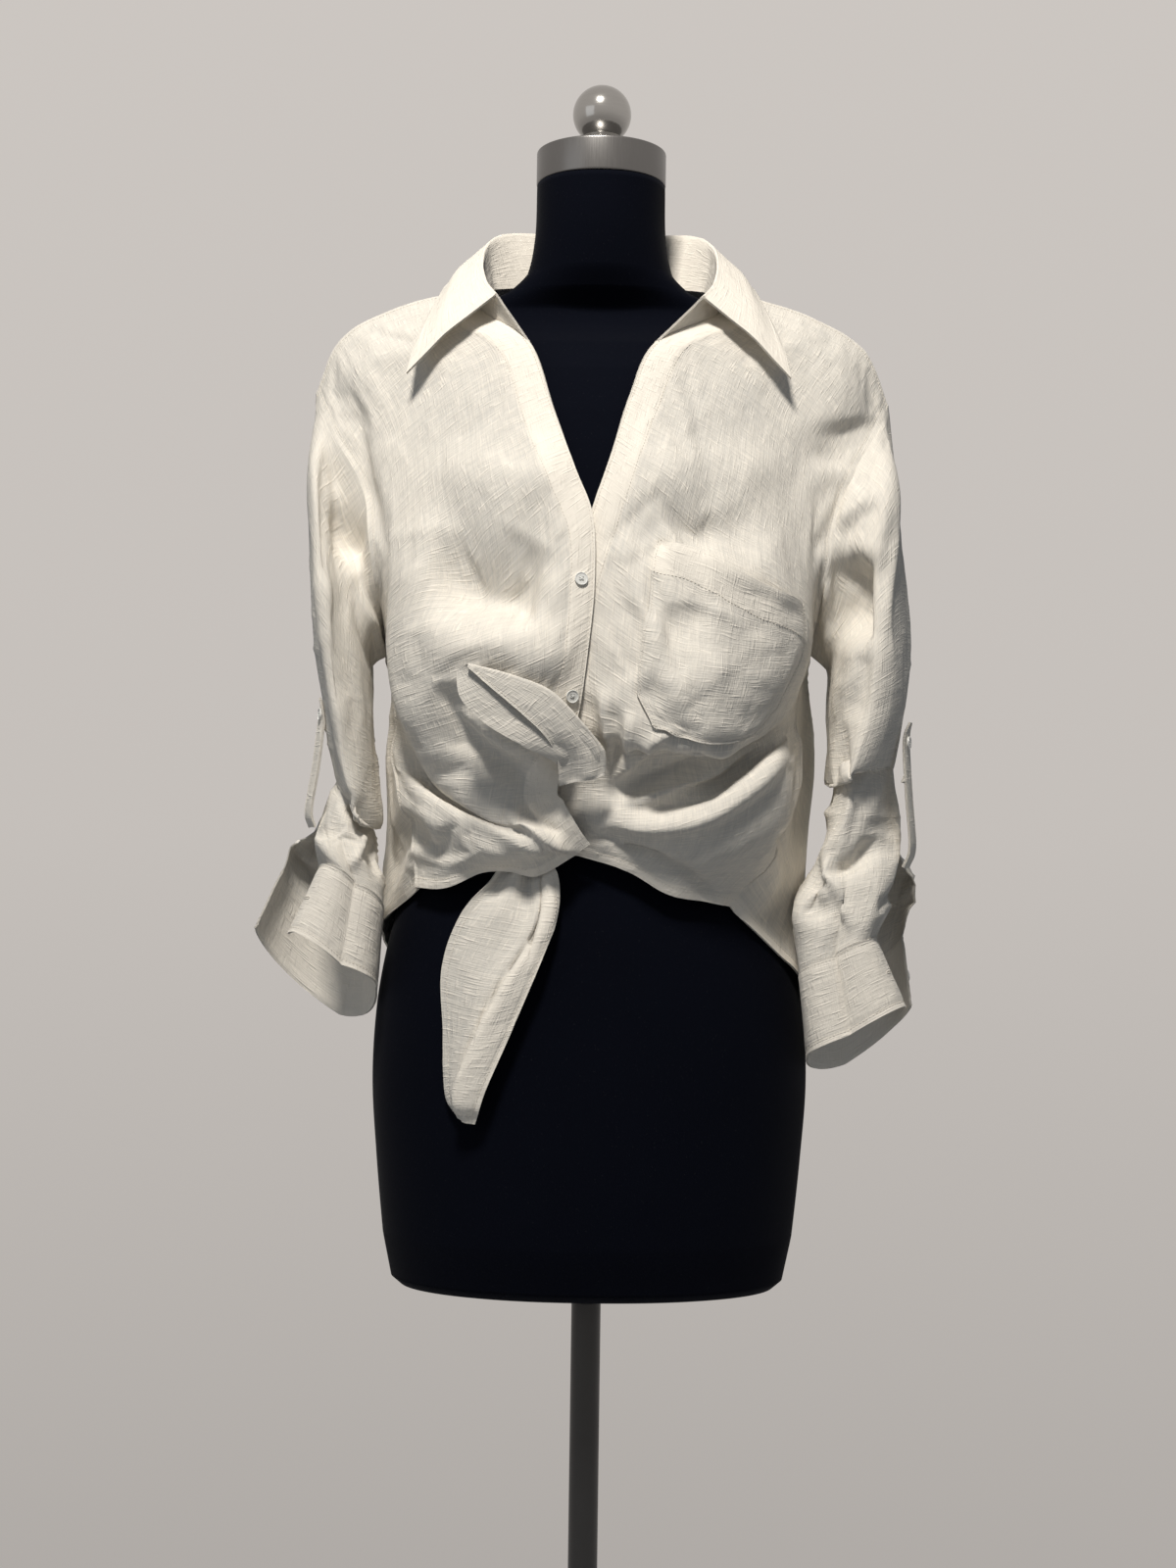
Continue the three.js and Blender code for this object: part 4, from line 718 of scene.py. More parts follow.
def press_seams(name, piece):
    """Doubles the cloth at its bands and presses it down a little along its rows of stitches."""
    for band in BANDS:
        if band["piece"] == name:
            inside = ease((band["width"] - piece.from_edge(band["side"])) / 1.5 + 0.5)
            piece.layers = np.maximum(piece.layers, inside)
    dip = np.zeros(piece.grid.shape[:2])
    for seam in SEAMS:
        if seam["piece"] == name:
            distance = piece.from_edge(seam["side"])
            shape = distance.shape
            if seam["side"] in ("left", "right"):
                along = np.linspace(0, 1, shape[0])[:, None]
            else:
                along = np.linspace(0, 1, shape[1])
            inside = (along >= seam["start"]) & (along <= seam["end"])
            groove = seam.get("press", 1) * np.exp(-((distance - seam["inset"]) / 1.5) ** 2)
            dip = np.maximum(dip, groove * inside)
    piece.grid = piece.grid - piece.normals * (dip * SEAM_PRESS)[..., None]


def surface_tree(pieces):
    points, faces, start = [], [], 0
    for piece in pieces:
        rows, columns = piece.grid.shape[:2]
        points.append(piece.grid.reshape(-1, 3))
        ids = np.arange(rows * columns).reshape(rows, columns) + start
        a, b, c, d = ids[:-1, :-1], ids[:-1, 1:], ids[1:, 1:], ids[1:, :-1]
        quads = np.stack([a, b, c, d] if piece.facing > 0 else [a, d, c, b], -1)
        faces.append(quads.reshape(-1, 4))
        start += rows * columns
    return BVHTree.FromPolygons(np.concatenate(points).tolist(), np.concatenate(faces).tolist())


def lay_over(points, tree, gap, reach=40):
    """Moves points out so that they clear the cloth under them by a gap."""
    flat = points.reshape(-1, 3)
    for k, p in enumerate(flat):
        spot, normal, _, _ = tree.find_nearest(Vector(p), reach)
        if spot is None:
            continue
        above = (Vector(p) - spot).dot(normal)
        if above < gap:
            flat[k] += np.array(normal) * (gap - above)
    return points


# The shirt's pieces

PANEL_COLUMNS = len(FRONT_RIGHT_ROWS[0]["across"]) - 1
PANEL_ROWS = len(FRONT_RIGHT_ROWS) - 1
SHOULDER_LINES = PANEL_COLUMNS * PANEL_STEPS
ARMHOLE_LINES = ARMHOLE_ROWS * DOWN_STEPS
NECK_LINES = NECK_ROWS * DOWN_STEPS
BACK_SHOULDER_COLUMNS = 3


def drape(across, along, seed):
    """Long folds that run one way: narrow crests between wide hollows, -1 to 1."""
    return 1 - 2 * np.sqrt(np.abs(2 * lattice(across, along, seed) - 1))


def wrinkle(piece, folds, side, seed, shirt, calm="top", hang=0.0):
    """Lays the folds that show and a light crumple into a piece."""
    flat = front_view(piece.grid, side)
    facing = ease(-side * piece.normals[..., 1] * 2.5 + 0.2)
    height = fold_height(flat, folds) * facing * shirt.fold_depth
    u, v = piece.cloth_map()
    quiet = ease(piece.from_edge(calm) / 30) * 0.8 + 0.2
    height += crumple(u, v, seed) * shirt.crumple / MM * quiet
    if hang:
        deep = np.abs(hang) * ease((piece.from_edge("top") - 50) / 120)
        if hang > 0:
            height += deep * drape((u + 0.25 * v) / 90, v / 34, seed + 5) * (1 - 0.8 * facing)
        else:
            height += deep * drape(u / 42, (v + 0.4 * u) / 210, seed + 5)
    piece.raise_by(height)


def front_piece(rows, facing, seed, shirt):
    grid = panel_grid(rows, steps(PANEL_COLUMNS, PANEL_STEPS), steps(PANEL_ROWS, DOWN_STEPS))
    piece = Cloth(grid, facing)
    wrinkle(piece, FRONT_FOLDS, 1, seed, shirt, "left")
    keep_off_form(piece.grid, FORM_GAP)
    piece.set_normals()
    return piece


def back_piece(front_right, front_left, shirt):
    last = len(BACK_ROWS[0]["across"]) - 1
    per = SHOULDER_LINES / BACK_SHOULDER_COLUMNS
    shoulder = np.arange(SHOULDER_LINES + 1) / per
    middle = BACK_SHOULDER_COLUMNS + steps(last - 2 * BACK_SHOULDER_COLUMNS, BACK_STEPS)
    columns = np.concatenate([shoulder[:-1], middle[:-1], last - shoulder[::-1]])
    piece = Cloth(panel_grid(BACK_ROWS, columns, steps(PANEL_ROWS, DOWN_STEPS)), 1)
    wrinkle(piece, BACK_FOLDS, -1, SEEDS["back"], shirt, hang=BACK_HANG)
    keep_off_form(piece.grid, FORM_GAP)
    sew_back(piece, front_right, front_left, SHOULDER_EASE, SIDE_EASE)
    return piece


def sew_back(back, front_right, front_left, shoulder_ease, side_ease):
    grid = back.grid
    end = grid.shape[1] - 1
    n = SHOULDER_LINES
    sew(grid, lambda g, d: g[d, :n + 1], front_right.grid[0, ::-1], shoulder_ease)
    sew(grid, lambda g, d: g[d, end - n:], front_left.grid[0], shoulder_ease)
    low = slice(ARMHOLE_LINES, None)
    sew(grid, lambda g, d: g[low, d], front_right.grid[low, n], side_ease)
    sew(grid, lambda g, d: g[low, end - d], front_left.grid[low, n], side_ease)
    back.set_normals()


def sew_sleeve(sleeve, front, back, column):
    top = armhole_ring(front, back, column)
    sew(sleeve.grid, lambda g, d: g[d], top, 2)
    closed = slice(0, SLIT_RING * DOWN_STEPS + 1)
    seam = (sleeve.grid[closed, 0] + sleeve.grid[closed, -1]) / 2
    sleeve.grid[closed, 0] = seam
    sleeve.grid[closed, -1] = seam
    sleeve.grid[0] = top
    sleeve.set_normals()


def armhole_ring(front, back, column):
    down = front.grid[:ARMHOLE_LINES + 1, -1]
    up = back.grid[:ARMHOLE_LINES, column][::-1]
    return np.concatenate([down, up])


def ring_points(ring, count):
    """A ring of a sleeve, from its outer point round by the front."""
    names = ("outer", "front", "inner", "back")
    corners = [place(*ring[n]) for n in names]
    corners.append(place(*ring.get("end", ring["outer"])))
    corners = np.array(corners)
    centre = ((corners[0] + corners[4]) / 2 + corners[1] + corners[2] + corners[3]) / 4
    turn = 4 * np.arange(count + 1) / count
    quarter = np.minimum(turn.astype(int), 3)
    angle = (turn - quarter)[:, None] * math.pi / 2
    start, end = corners[quarter] - centre, corners[quarter + 1] - centre
    return centre + start * np.cos(angle) + end * np.sin(angle)


def sleeve_piece(front, back, column, table, facing, seed, shirt):
    top = armhole_ring(front, back, column)
    rings = np.array([top] + [ring_points(ring, len(top) - 1) for ring in table])
    grid = smooth(rings, steps(len(rings) - 1, DOWN_STEPS))
    piece = Cloth(grid, facing, SLIT_RING * DOWN_STEPS)
    wrinkle(piece, SLEEVE_FOLDS, 1, seed, shirt, hang=SLEEVE_HANG)
    sew_sleeve(piece, front, back, column)
    return piece


def cuff_piece(sleeve, table, facing):
    top = sleeve.grid[-1]
    low = ring_points(table[0], len(top) - 1)
    t = np.linspace(0, 1, CUFF_LINES)[:, None, None]
    return Cloth(top * (1 - t) + low * t, facing)


def collar_seam(front_right, front_left, back):
    right = front_right.grid[:NECK_LINES + 1, 0][::-1]
    left = front_left.grid[:NECK_LINES + 1, 0]
    return np.concatenate([right[:-1], back.grid[0, SHOULDER_LINES:-SHOULDER_LINES], left[1:]])


def collar_piece(front_right, front_left, back):
    seam = collar_seam(front_right, front_left, back)
    folds = np.array([place(*s["fold"]) for s in COLLAR_STATIONS])
    edges = np.array([place(*s["edge"]) for s in COLLAR_STATIONS])
    flip = np.array((-1, 1, 1))
    folds = np.concatenate([folds * flip, folds[::-1][1:]])
    edges = np.concatenate([edges * flip, edges[::-1][1:]])
    at = np.linspace(0, len(folds) - 1, len(seam))
    fold, edge = smooth(folds, at), smooth(edges, at)
    outward = unit((edge - fold) * (1, 1, 0))
    stand = [seam + (fold - seam) * share for share in COLLAR_STAND_SHARES]
    roll = fold + outward * COLLAR_ROLL_OUT - (0, 0, COLLAR_ROLL_DOWN)
    leaf = (fold + edge) / 2 + outward * COLLAR_LEAF_BOW
    profile = np.array(stand + [roll, (roll + leaf) / 2, leaf, (leaf + edge) / 2, edge])
    return Cloth(smooth(profile, steps(len(profile) - 1, COLLAR_STEPS)), -1)


def pocket_piece(front):
    even = np.linspace(0, 1, POCKET_STEPS + 1)
    down, t = np.meshgrid(even, even, indexing="ij")
    cut = POCKET_CUT * np.maximum(0, (down - POCKET_CUT_FROM) / (1 - POCKET_CUT_FROM))
    t = cut + (1 - 2 * cut) * t
    a, b, c, d = (np.array(POCKET_CORNERS[name]) for name in (
        "top inner", "top outer", "low inner", "low outer"))
    t3, d3 = t[..., None], down[..., None]
    at = (a * (1 - t3) + b * t3) * (1 - d3) + (c * (1 - t3) + d * t3) * d3
    lines, columns = at[..., 1] * DOWN_STEPS, at[..., 0] * PANEL_STEPS
    points = sample(front.grid, lines, columns)
    normals = unit(sample(front.normals, lines, columns))
    piece = Cloth(points + normals * POCKET_LIFT, -1)
    piece.normals = normals
    edge = np.minimum.reduce([piece.from_edge(s) for s in ("left", "right", "bottom")])
    inner = ease(edge / 16)
    lift = fold_height(front_view(points), POCKET_FOLDS) * inner
    u, v = piece.cloth_map()
    lift += (crumple(u, v, SEEDS["pocket"]) * 1.2 + 2.2) * inner
    lift += 2.5 * (1 - ease(piece.from_edge("top") / 12)) * ease(edge / 25)
    piece.grid = piece.grid + normals * lift[..., None]
    piece.set_normals()
    return piece


def strip_piece(rows, names, facing):
    lines = np.array([[place(*row[name]) for name in names] for row in rows])
    down = smooth(lines, steps(len(rows) - 1, DOWN_STEPS))
    grid = np.swapaxes(smooth(np.swapaxes(down, 0, 1), steps(len(names) - 1, STRIP_STEPS)), 0, 1)
    return Cloth(grid.copy(), facing)


def shares(piece):
    """How far down and across each point of a piece is, from 0 to 1."""
    rows, columns = piece.grid.shape[:2]
    return np.meshgrid(np.linspace(0, 1, rows), np.linspace(0, 1, columns), indexing="ij")


def pleat(piece, count, height, reach):
    """Pleats that run down from a gathered top and die out."""
    down, across = shares(piece)
    wave = np.cos(2 * math.pi * (count * across + 0.35 * np.sin(3 * down)))
    sharp = np.sign(wave) * np.abs(wave) ** 0.7
    piece.raise_by(height * sharp * (1 - ease(down / reach)) * ease(down / 0.05 + 0.4))


def lap(piece, start, end, height):
    """A part folded over the rest, its edge running down from one share across to another."""
    down, across = shares(piece)
    side = (across - (start + (end - start) * down ** 0.8)) * 60
    upper = (np.tanh(side * 1.5) + 1) / 2
    piece.layers = np.maximum(piece.layers, upper)
    groove = 0.6 * np.exp(-((side + 2) / 1.6) ** 2)
    piece.raise_by(height * (upper - groove) * ease(down / 0.15) * ease((1 - down) / 0.1))


def rumple(piece, seed, height):
    u, v = piece.cloth_map()
    piece.raise_by(crumple(u, v, seed) * height)


def tab_piece(rows, facing):
    at = steps(len(rows) - 1, DOWN_STEPS)
    middles = smooth([place(*r["middle"]) for r in rows], at)
    halves = smooth([r["half"] for r in rows], at)
    side = np.array(TAB_SIDE) * (-facing, 1, 1)
    t = np.linspace(-1, 1, 11)
    grid = middles[:, None] + side * (t[None, :, None] * halves[:, None, None])
    return Cloth(grid, facing)


def hold(name, piece):
    """How firmly each point keeps its tailored place while the cloth settles, 0 to 1."""
    firm = np.full(piece.grid.shape[:2], BASE_HOLD)
    if name in ("right", "left"):
        firm = np.maximum(firm, 0.6 * (1 - ease((piece.from_edge("left") - 8) / 30)))
        knot = np.linalg.norm(piece.grid[..., [0, 2]] - KNOT_PLACE, axis=-1)
        firm = np.maximum(firm, 1 - ease((knot - 35) / 70))
        firm = np.maximum(firm, 0.5 * (1 - ease(piece.from_edge("bottom") / 30)))
    elif name == "back":
        neck = np.abs(np.arange(piece.grid.shape[1]) - (piece.grid.shape[1] - 1) / 2) <= BACK_STEPS
        firm[:3, neck] = 1
        firm[3:16, neck] = np.linspace(0.9, BASE_HOLD, 13)[:, None]
    else:
        firm = np.maximum(firm, 1 - ease((piece.from_edge("bottom") - 4) / 30))
    firm[:4] = np.maximum(firm[:4], 0.5)
    return firm


def settle(pieces, shirt):
    """Lets the sewn cloth, cut a little too large, sag and buckle on the form for a moment."""
    points, faces, firm, extra, start = [], [], [], [], 0
    for name, piece in pieces.items():
        coarse = piece.grid[::2, ::2]
        ids = np.arange(coarse.shape[0] * coarse.shape[1]).reshape(coarse.shape[:2]) + start
        corners = ids[:-1, :-1], ids[:-1, 1:], ids[1:, 1:], ids[1:, :-1]
        quads = np.stack(corners, -1).reshape(-1, 4)
        points.append(coarse.reshape(-1, 3))
        faces.append(quads if piece.facing > 0 else quads[:, ::-1])
        firm.append(hold(name, piece)[::2, ::2].ravel())
        extra.append(np.full(ids.size, EXTRA_CLOTH[name]))
        start += ids.size
    points, faces = np.concatenate(points), np.concatenate(faces)
    firm, extra = np.concatenate(firm), np.concatenate(extra)
    _, first, welded = np.unique(
        np.round(points, 1), axis=0, return_index=True, return_inverse=True)
    welded = welded.ravel()
    faces = welded[faces]
    faces = faces[[len(set(f)) == 4 for f in faces.tolist()]]
    cloth = new_object("settling", mesh_from("settling", points[first] * MM, faces))
    strongest = np.zeros(len(first))
    np.maximum.at(strongest, welded, firm)
    for name, weights in (("hold", strongest), ("extra", extra[first])):
        group = cloth.vertex_groups.new(name=name)
        for k, weight in enumerate(weights):
            group.add([k], float(weight), "REPLACE")
    modifier = cloth.modifiers.new("Cloth", "CLOTH")
    for name, value in (
            ("quality", 6), ("mass", 0.08), ("tension_stiffness", 15),
            ("compression_stiffness", 15), ("shear_stiffness", 6),
            ("bending_stiffness", shirt.bending), ("air_damping", 1.5),
            ("vertex_group_mass", "hold"), ("pin_stiffness", 1), ("vertex_group_shrink", "extra"),
            ("shrink_min", 0), ("shrink_max", -shirt.ease_cut)):
        setattr(modifier.settings, name, value)
    modifier.settings.effector_weights.gravity = 0.25
    modifier.collision_settings.distance_min = 0.0015
    form = bpy.data.objects["form_jersey"]
    form.modifiers.new("Collision", "COLLISION")
    form.collision.thickness_outer = 0.001
    form.collision.cloth_friction = 6
    scene = bpy.context.scene
    for n in range(1, shirt.settle_frames + 1):
        scene.frame_set(n)
    graph = bpy.context.evaluated_depsgraph_get()
    result = cloth.evaluated_get(graph).data
    moved = np.empty(len(result.vertices) * 3)
    result.vertices.foreach_get("co", moved)
    moved = moved.reshape(-1, 3)[welded] / MM - points
    scene.frame_set(1)
    bpy.data.objects.remove(cloth)
    form.modifiers.clear()
    far = np.linalg.norm(moved, axis=1, keepdims=True)
    moved *= SETTLE_CAP * np.tanh(far / SETTLE_CAP) / np.maximum(far, 1e-6)
    start = 0
    for piece in pieces.values():
        rows, columns = piece.grid[::2, ::2].shape[:2]
        part = moved[start:start + rows * columns].reshape(rows, columns, 3)
        start += rows * columns
        halves = np.arange(2 * rows - 1) / 2, np.arange(2 * columns - 1) / 2
        padded = np.pad(part, ((0, 1), (0, 1), (0, 0)), "edge")
        piece.grid = piece.grid + sample(padded, *np.meshgrid(*halves, indexing="ij"))
        piece.set_normals()


def tuck_under(under, over, gap=2.6):
    """Keeps one front below the other where they overlap."""
    tree = surface_tree([over])
    part = under.grid[NECK_LINES:, :int(PANEL_STEPS * 1.6)]
    for line in part:
        for k, p in enumerate(line):
            spot, normal, _, _ = tree.find_nearest(Vector(p), 14)
            if spot is None:
                continue
            apart = Vector(p) - spot
            above = apart.dot(normal)
            if (apart - normal * above).length < 1.5 and above > -gap:
                line[k] -= np.array(normal) * (above + gap)
    keep_off_form(part, FORM_GAP / 2)
    under.set_normals()


SEWN = {}


def sewn_shirt(shirt):
    """All the shirt's pieces, cut and sewn to each other once."""
    if SEWN:
        return SEWN
    right = front_piece(FRONT_RIGHT_ROWS, 1, SEEDS["right"], shirt)
    left = front_piece(FRONT_LEFT_ROWS, -1, SEEDS["left"], shirt)
    back = back_piece(right, left, shirt)
    last = back.grid.shape[1] - 1
    sleeve_right = sleeve_piece(
        right, back, 0, SLEEVE_RIGHT_RINGS, -1, SEEDS["sleeve right"], shirt)
    sleeve_left = sleeve_piece(
        left, back, last, SLEEVE_LEFT_RINGS, 1, SEEDS["sleeve left"], shirt)
    if shirt.settle:
        settle({"right": right, "left": left, "back": back, "sleeve_right": sleeve_right,
                "sleeve_left": sleeve_left}, shirt)
        sew_back(back, right, left, RESEWN_EASE, RESEWN_EASE)
        sew_sleeve(sleeve_right, right, back, 0)
        sew_sleeve(sleeve_left, left, back, last)
    tuck_under(left, right)
    cuffs = [cuff_piece(sleeve_right, CUFF_RIGHT_RINGS, -1),
             cuff_piece(sleeve_left, CUFF_LEFT_RINGS, 1)]
    for cuff, name in zip(cuffs, ("cuff right", "cuff left")):
        top = cuff.grid[0].copy()
        rumple(cuff, SEEDS[name], 0.8)
        cuff.grid[0] = top
    collar = collar_piece(right, left, back)
    leaf = collar.grid[COLLAR_LEAF_LINE * COLLAR_STEPS:]
    lay_over(leaf, surface_tree([right, left, back]), LEAF_GAP)
    collar.set_normals()
    rumple(collar, SEEDS["collar"], 0.5)
    collar.grid[0] = collar_seam(right, left, back)
    pocket = pocket_piece(left)
    tie_right = strip_piece(TIE_END_RIGHT_ROWS, ("edge", "top", "lower"), 1)
    pleat(tie_right, 3.5, 1.8, 0.55)
    rumple(tie_right, SEEDS["tie right"], 1.0)
    lay_over(tie_right.grid, surface_tree([right]), TIE_GAP)
    tie_right.set_normals()
    tie_left = strip_piece(TIE_END_LEFT_ROWS, ("left", "ridge", "right"), -1)
    pleat(tie_left, 3, 4.0, 0.6)
    lap(tie_left, 0.9, 0.35, 5.0)
    rumple(tie_left, SEEDS["tie left"], 1.6)
    keep_off_form(tie_left.grid, FORM_GAP)
    tie_left.set_normals()
    tabs = [tab_piece(TAB_RIGHT_ROWS, -1), tab_piece(TAB_LEFT_ROWS, 1)]
    for tab, sleeve in zip(tabs, (sleeve_right, sleeve_left)):
        lay_over(tab.grid, surface_tree([sleeve]), TAB_GAP)
        tab.set_normals()
    SEWN.update(
        front_right=right, front_left=left, back=back, sleeve_right=sleeve_right,
        sleeve_left=sleeve_left, cuff_right=cuffs[0], cuff_left=cuffs[1], collar=collar,
        pocket=pocket, tie_end_right=tie_right, tie_end_left=tie_left, tab_right=tabs[0],
        tab_left=tabs[1])
    for name, piece in SEWN.items():
        press_seams(name, piece)
        piece.set_normals()
    share_normals([right, left, back, sleeve_right, sleeve_left, *cuffs, collar])
    return SEWN


# Meshes

def new_object(name, mesh):
    piece = bpy.data.objects.new(name, mesh)
    bpy.context.scene.collection.objects.link(piece)
    return piece


def mesh_from(name, points, faces, smooth_faces=True):
    mesh = bpy.data.meshes.new(name)
    mesh.from_pydata([tuple(p) for p in points], [], [tuple(int(i) for i in f) for f in faces])
    mesh.update()
    mesh.polygons.foreach_set("use_smooth", [smooth_faces] * len(mesh.polygons))
    return mesh


# How far off the form the jersey shows through, in mm, and the inner face's place in the weave
TOUCH_FADE = 7
INNER_MAP_SHIFT = (0.37, 0.11)


def shell_mesh(name, cloth, wall):
    """A closed wall round a piece's grid, in metres, with the cloth's own map on it."""
    rows, columns = cloth.grid.shape[:2]
    offset = cloth.normals * (wall / 2)
    hem = cloth.normals * (cloth.layers * wall * HEM_WALL)[..., None]
    walls = cloth.grid + offset + hem, cloth.grid - offset
    points = np.concatenate([w.reshape(-1, 3) for w in walls]) * MM
    ids = np.arange(2 * rows * columns).reshape(2, rows, columns)
    used = ids.copy()
    used[:, cloth.is_closed(), -1] = ids[:, cloth.is_closed(), 0]
    quads = []

    def add(a, b, c, d):
        corners = [a, b, c, d] if cloth.facing > 0 else [a, d, c, b]
        quads.append(np.stack(corners, -2).reshape(-1, 4, 2))

    both = np.stack([used, ids], -1)
    out, inn = both[0], both[1]
    add(out[:-1, :-1], out[:-1, 1:], out[1:, 1:], out[1:, :-1])
    add(inn[:-1, :-1], inn[1:, :-1], inn[1:, 1:], inn[:-1, 1:])
    add(inn[0, :-1], inn[0, 1:], out[0, 1:], out[0, :-1])
    add(out[-1, :-1], out[-1, 1:], inn[-1, 1:], inn[-1, :-1])
    start = max(cloth.closed, 0)
    add(out[start:-1, 0], out[start + 1:, 0], inn[start + 1:, 0], inn[start:-1, 0])
    add(inn[start:-1, -1], inn[start + 1:, -1], out[start + 1:, -1], out[start:-1, -1])
    faces = np.concatenate(quads)
    keep = np.unique(faces[..., 0])
    renumber = np.zeros(len(points), int)
    renumber[keep] = np.arange(len(keep))
    mesh = mesh_from(name, points[keep], renumber[faces[..., 0]])
    u, v = cloth.cloth_map()
    flat = np.stack([u, v], -1).reshape(-1, 2) * MM
    flat = np.concatenate([flat, flat + INNER_MAP_SHIFT])
    layer = mesh.uv_layers.new(name="cloth")
    layer.data.foreach_set("uv", flat[faces[..., 1].reshape(-1)].astype(np.float32).ravel())
    touch = np.exp(-np.maximum(off_form(cloth.grid), 0) / TOUCH_FADE) * (1 - cloth.layers)
    for label, values in (("touch", touch), ("layers", cloth.layers)):
        values = np.concatenate([values.ravel()] * 2)[keep].astype(np.float32)
        mesh.attributes.new(label, "FLOAT", "POINT").data.foreach_set("value", values)
    rim = np.zeros((2, rows, columns), bool)
    rim[:, (0, -1)] = True
    rim[:, start:, (0, -1)] = True
    rim = rim.reshape(-1)[keep]
    ends = np.empty(len(mesh.edges) * 2, int)
    mesh.edges.foreach_get("vertices", ends)
    sharp = rim[ends].reshape(-1, 2).all(1)
    mesh.attributes.new("sharp_edge", "BOOLEAN", "EDGE").data.foreach_set("value", sharp)
    return mesh


def turned_faces(sides, rings):
    """Faces of a closed turned shape: its lowest point, its rings and its highest point."""
    faces = []
    top = 1 + (rings - 1) * sides
    for n in range(sides):
        m = (n + 1) % sides
        faces.append((0, 1 + m, 1 + n))
        for a in range(1, top, sides):
            b = a + sides
            faces.append((a + n, a + m, b + m, b + n))
        faces.append((top + n, top + m, top + sides))
    return faces


def turned_mesh(name, profile, sides):
    """A turned solid from its profile of (radius, up) in mm, with both ends on the axis."""
    turns = 2 * math.pi * np.arange(sides) / sides
    points = [(0, 0, profile[0][1] * MM)]
    for radius, up in profile[1:-1]:
        points += [(radius * MM * math.cos(a), radius * MM * math.sin(a), up * MM) for a in turns]
    points.append((0, 0, profile[-1][1] * MM))
    faces = turned_faces(sides, len(profile) - 2)
    return mesh_from(name, points, faces)


def rounded(profile, radius, bend=4):
    """A profile with its corners rounded, apart from those on the axis."""
    out = [profile[0]]
    for before, corner, after in zip(profile, profile[1:], profile[2:]):
        a, c, b = (np.array(p, float) for p in (before, corner, after))
        reach_in = min(radius, np.linalg.norm(a - c) * 0.45)
        reach_out = min(radius, np.linalg.norm(b - c) * 0.45)
        start, end = c + unit(a - c) * reach_in, c + unit(b - c) * reach_out
        for t in np.linspace(0, 1, bend + 1):
            p = start * (1 - t) ** 2 + 2 * c * t * (1 - t) + end * t * t
            out.append((float(p[0]), float(p[1])))
    out.append(profile[-1])
    return out


def post(radius, low, high, edge):
    """A round post's profile, with its rims rounded."""
    return rounded([(0, low), (radius, low), (radius, high), (0, high)], edge)


def finish_piece(piece, node, material):
    """Puts a piece on the part's one body, in place of its node."""
    piece.data.materials.clear()
    piece.data.materials.append(material)
    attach(piece, "root")
    if node:
        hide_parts(node)
    return piece


def cloth_object(node, cloth, wall, material):
    piece = new_object(node + "_linen", shell_mesh(node + "_linen", cloth, wall))
    finish_piece(piece, node, material)
    width, length = cloth.cut_size()
    area = cloth.area()
    width = max(width, area / length) + 0.001
    return piece


# Materials

class Value:
    """A socket that takes part in sums: each operator adds its Math node."""

    def __init__(self, tree, socket):
        self.tree = tree
        self.socket = socket

    def _with(self, operation, other, swap=False):
        pair = (other, self) if swap else (self, other)
        return self.tree.node("ShaderNodeMath", {"operation": operation}, pair)

    def __add__(self, other):
        return self._with("ADD", other)

    __radd__ = __add__

    def __sub__(self, other):
        return self._with("SUBTRACT", other)

    def __rsub__(self, other):
        return self._with("SUBTRACT", other, True)

    def __mul__(self, other):
        return self._with("MULTIPLY", other)

    __rmul__ = __mul__


class Nodes:
    """A node tree, and what adds to it."""

    def __init__(self, tree):
        self.nodes = tree.nodes
        self.links = tree.links

    def node(self, kind, settings=None, values=(), out=0):
        """Adds a node: its settings first, then the values or links of its sockets."""
        node = self.nodes.new(kind)
        for name, value in (settings or {}).items():
            if name == "stops":
                ramp = node.color_ramp
                while len(ramp.elements) < len(value):
                    ramp.elements.new(0.5)
                for element, (position, colour) in zip(ramp.elements, value):
                    element.position = position
                    element.color = colour
            else:
                setattr(node, name, value)
        pairs = values.items() if isinstance(values, dict) else enumerate(values)
        for key, value in pairs:
            self.feed(node.inputs[key], value)
        return Value(self, node.outputs[out])

    def feed(self, socket, value):
        if isinstance(value, Value):
            self.links.new(value.socket, socket)
        elif value is not None:
            socket.default_value = value

    def colour_mix(self, factor, a, b, blend="MIX"):
        node = self.nodes.new("ShaderNodeMix")
        node.data_type = "RGBA"
        node.blend_type = blend
        for socket, value in ((node.inputs[0], factor), (node.inputs[6], a), (node.inputs[7], b)):
            self.feed(socket, value)
        return Value(self, node.outputs[2])

    def noise(self, vector, scale, detail=2.0, rough=0.5):
        return self.node("ShaderNodeTexNoise", {}, {
            "Vector": vector, "Scale": scale, "Detail": detail, "Roughness": rough})

    def stretched(self, vector, size):
        """Coordinates divided by a size along each axis, in metres."""
        return self.node("ShaderNodeVectorMath", {"operation": "DIVIDE"}, (vector, size))

    def band(self, value, low, high):
        return self.node("ShaderNodeMapRange", {"clamp": True}, {
            "Value": value, "From Min": low, "From Max": high})


class Finish(Nodes):
    """A material and its shader."""

    def __init__(self, name):
        self.material = bpy.data.materials.new(name)
        self.material.use_nodes = True
        super().__init__(self.material.node_tree)
        self.shader = self.nodes["Principled BSDF"]

    def set(self, **sockets):
        for name, value in sockets.items():
            self.feed(self.shader.inputs[name.replace("_", " ")], value)

    def bump(self, height, distance, strength=1.0):
        normal = self.node("ShaderNodeBump", {}, {
            "Height": height, "Distance": distance, "Strength": strength})
        self.links.new(normal.socket, self.shader.inputs["Normal"])


def rgba(colour, share=1.0):
    """A colour's first three values, each times a share, with full alpha."""
    return tuple(c * share for c in tuple(colour)[:3]) + (1.0,)


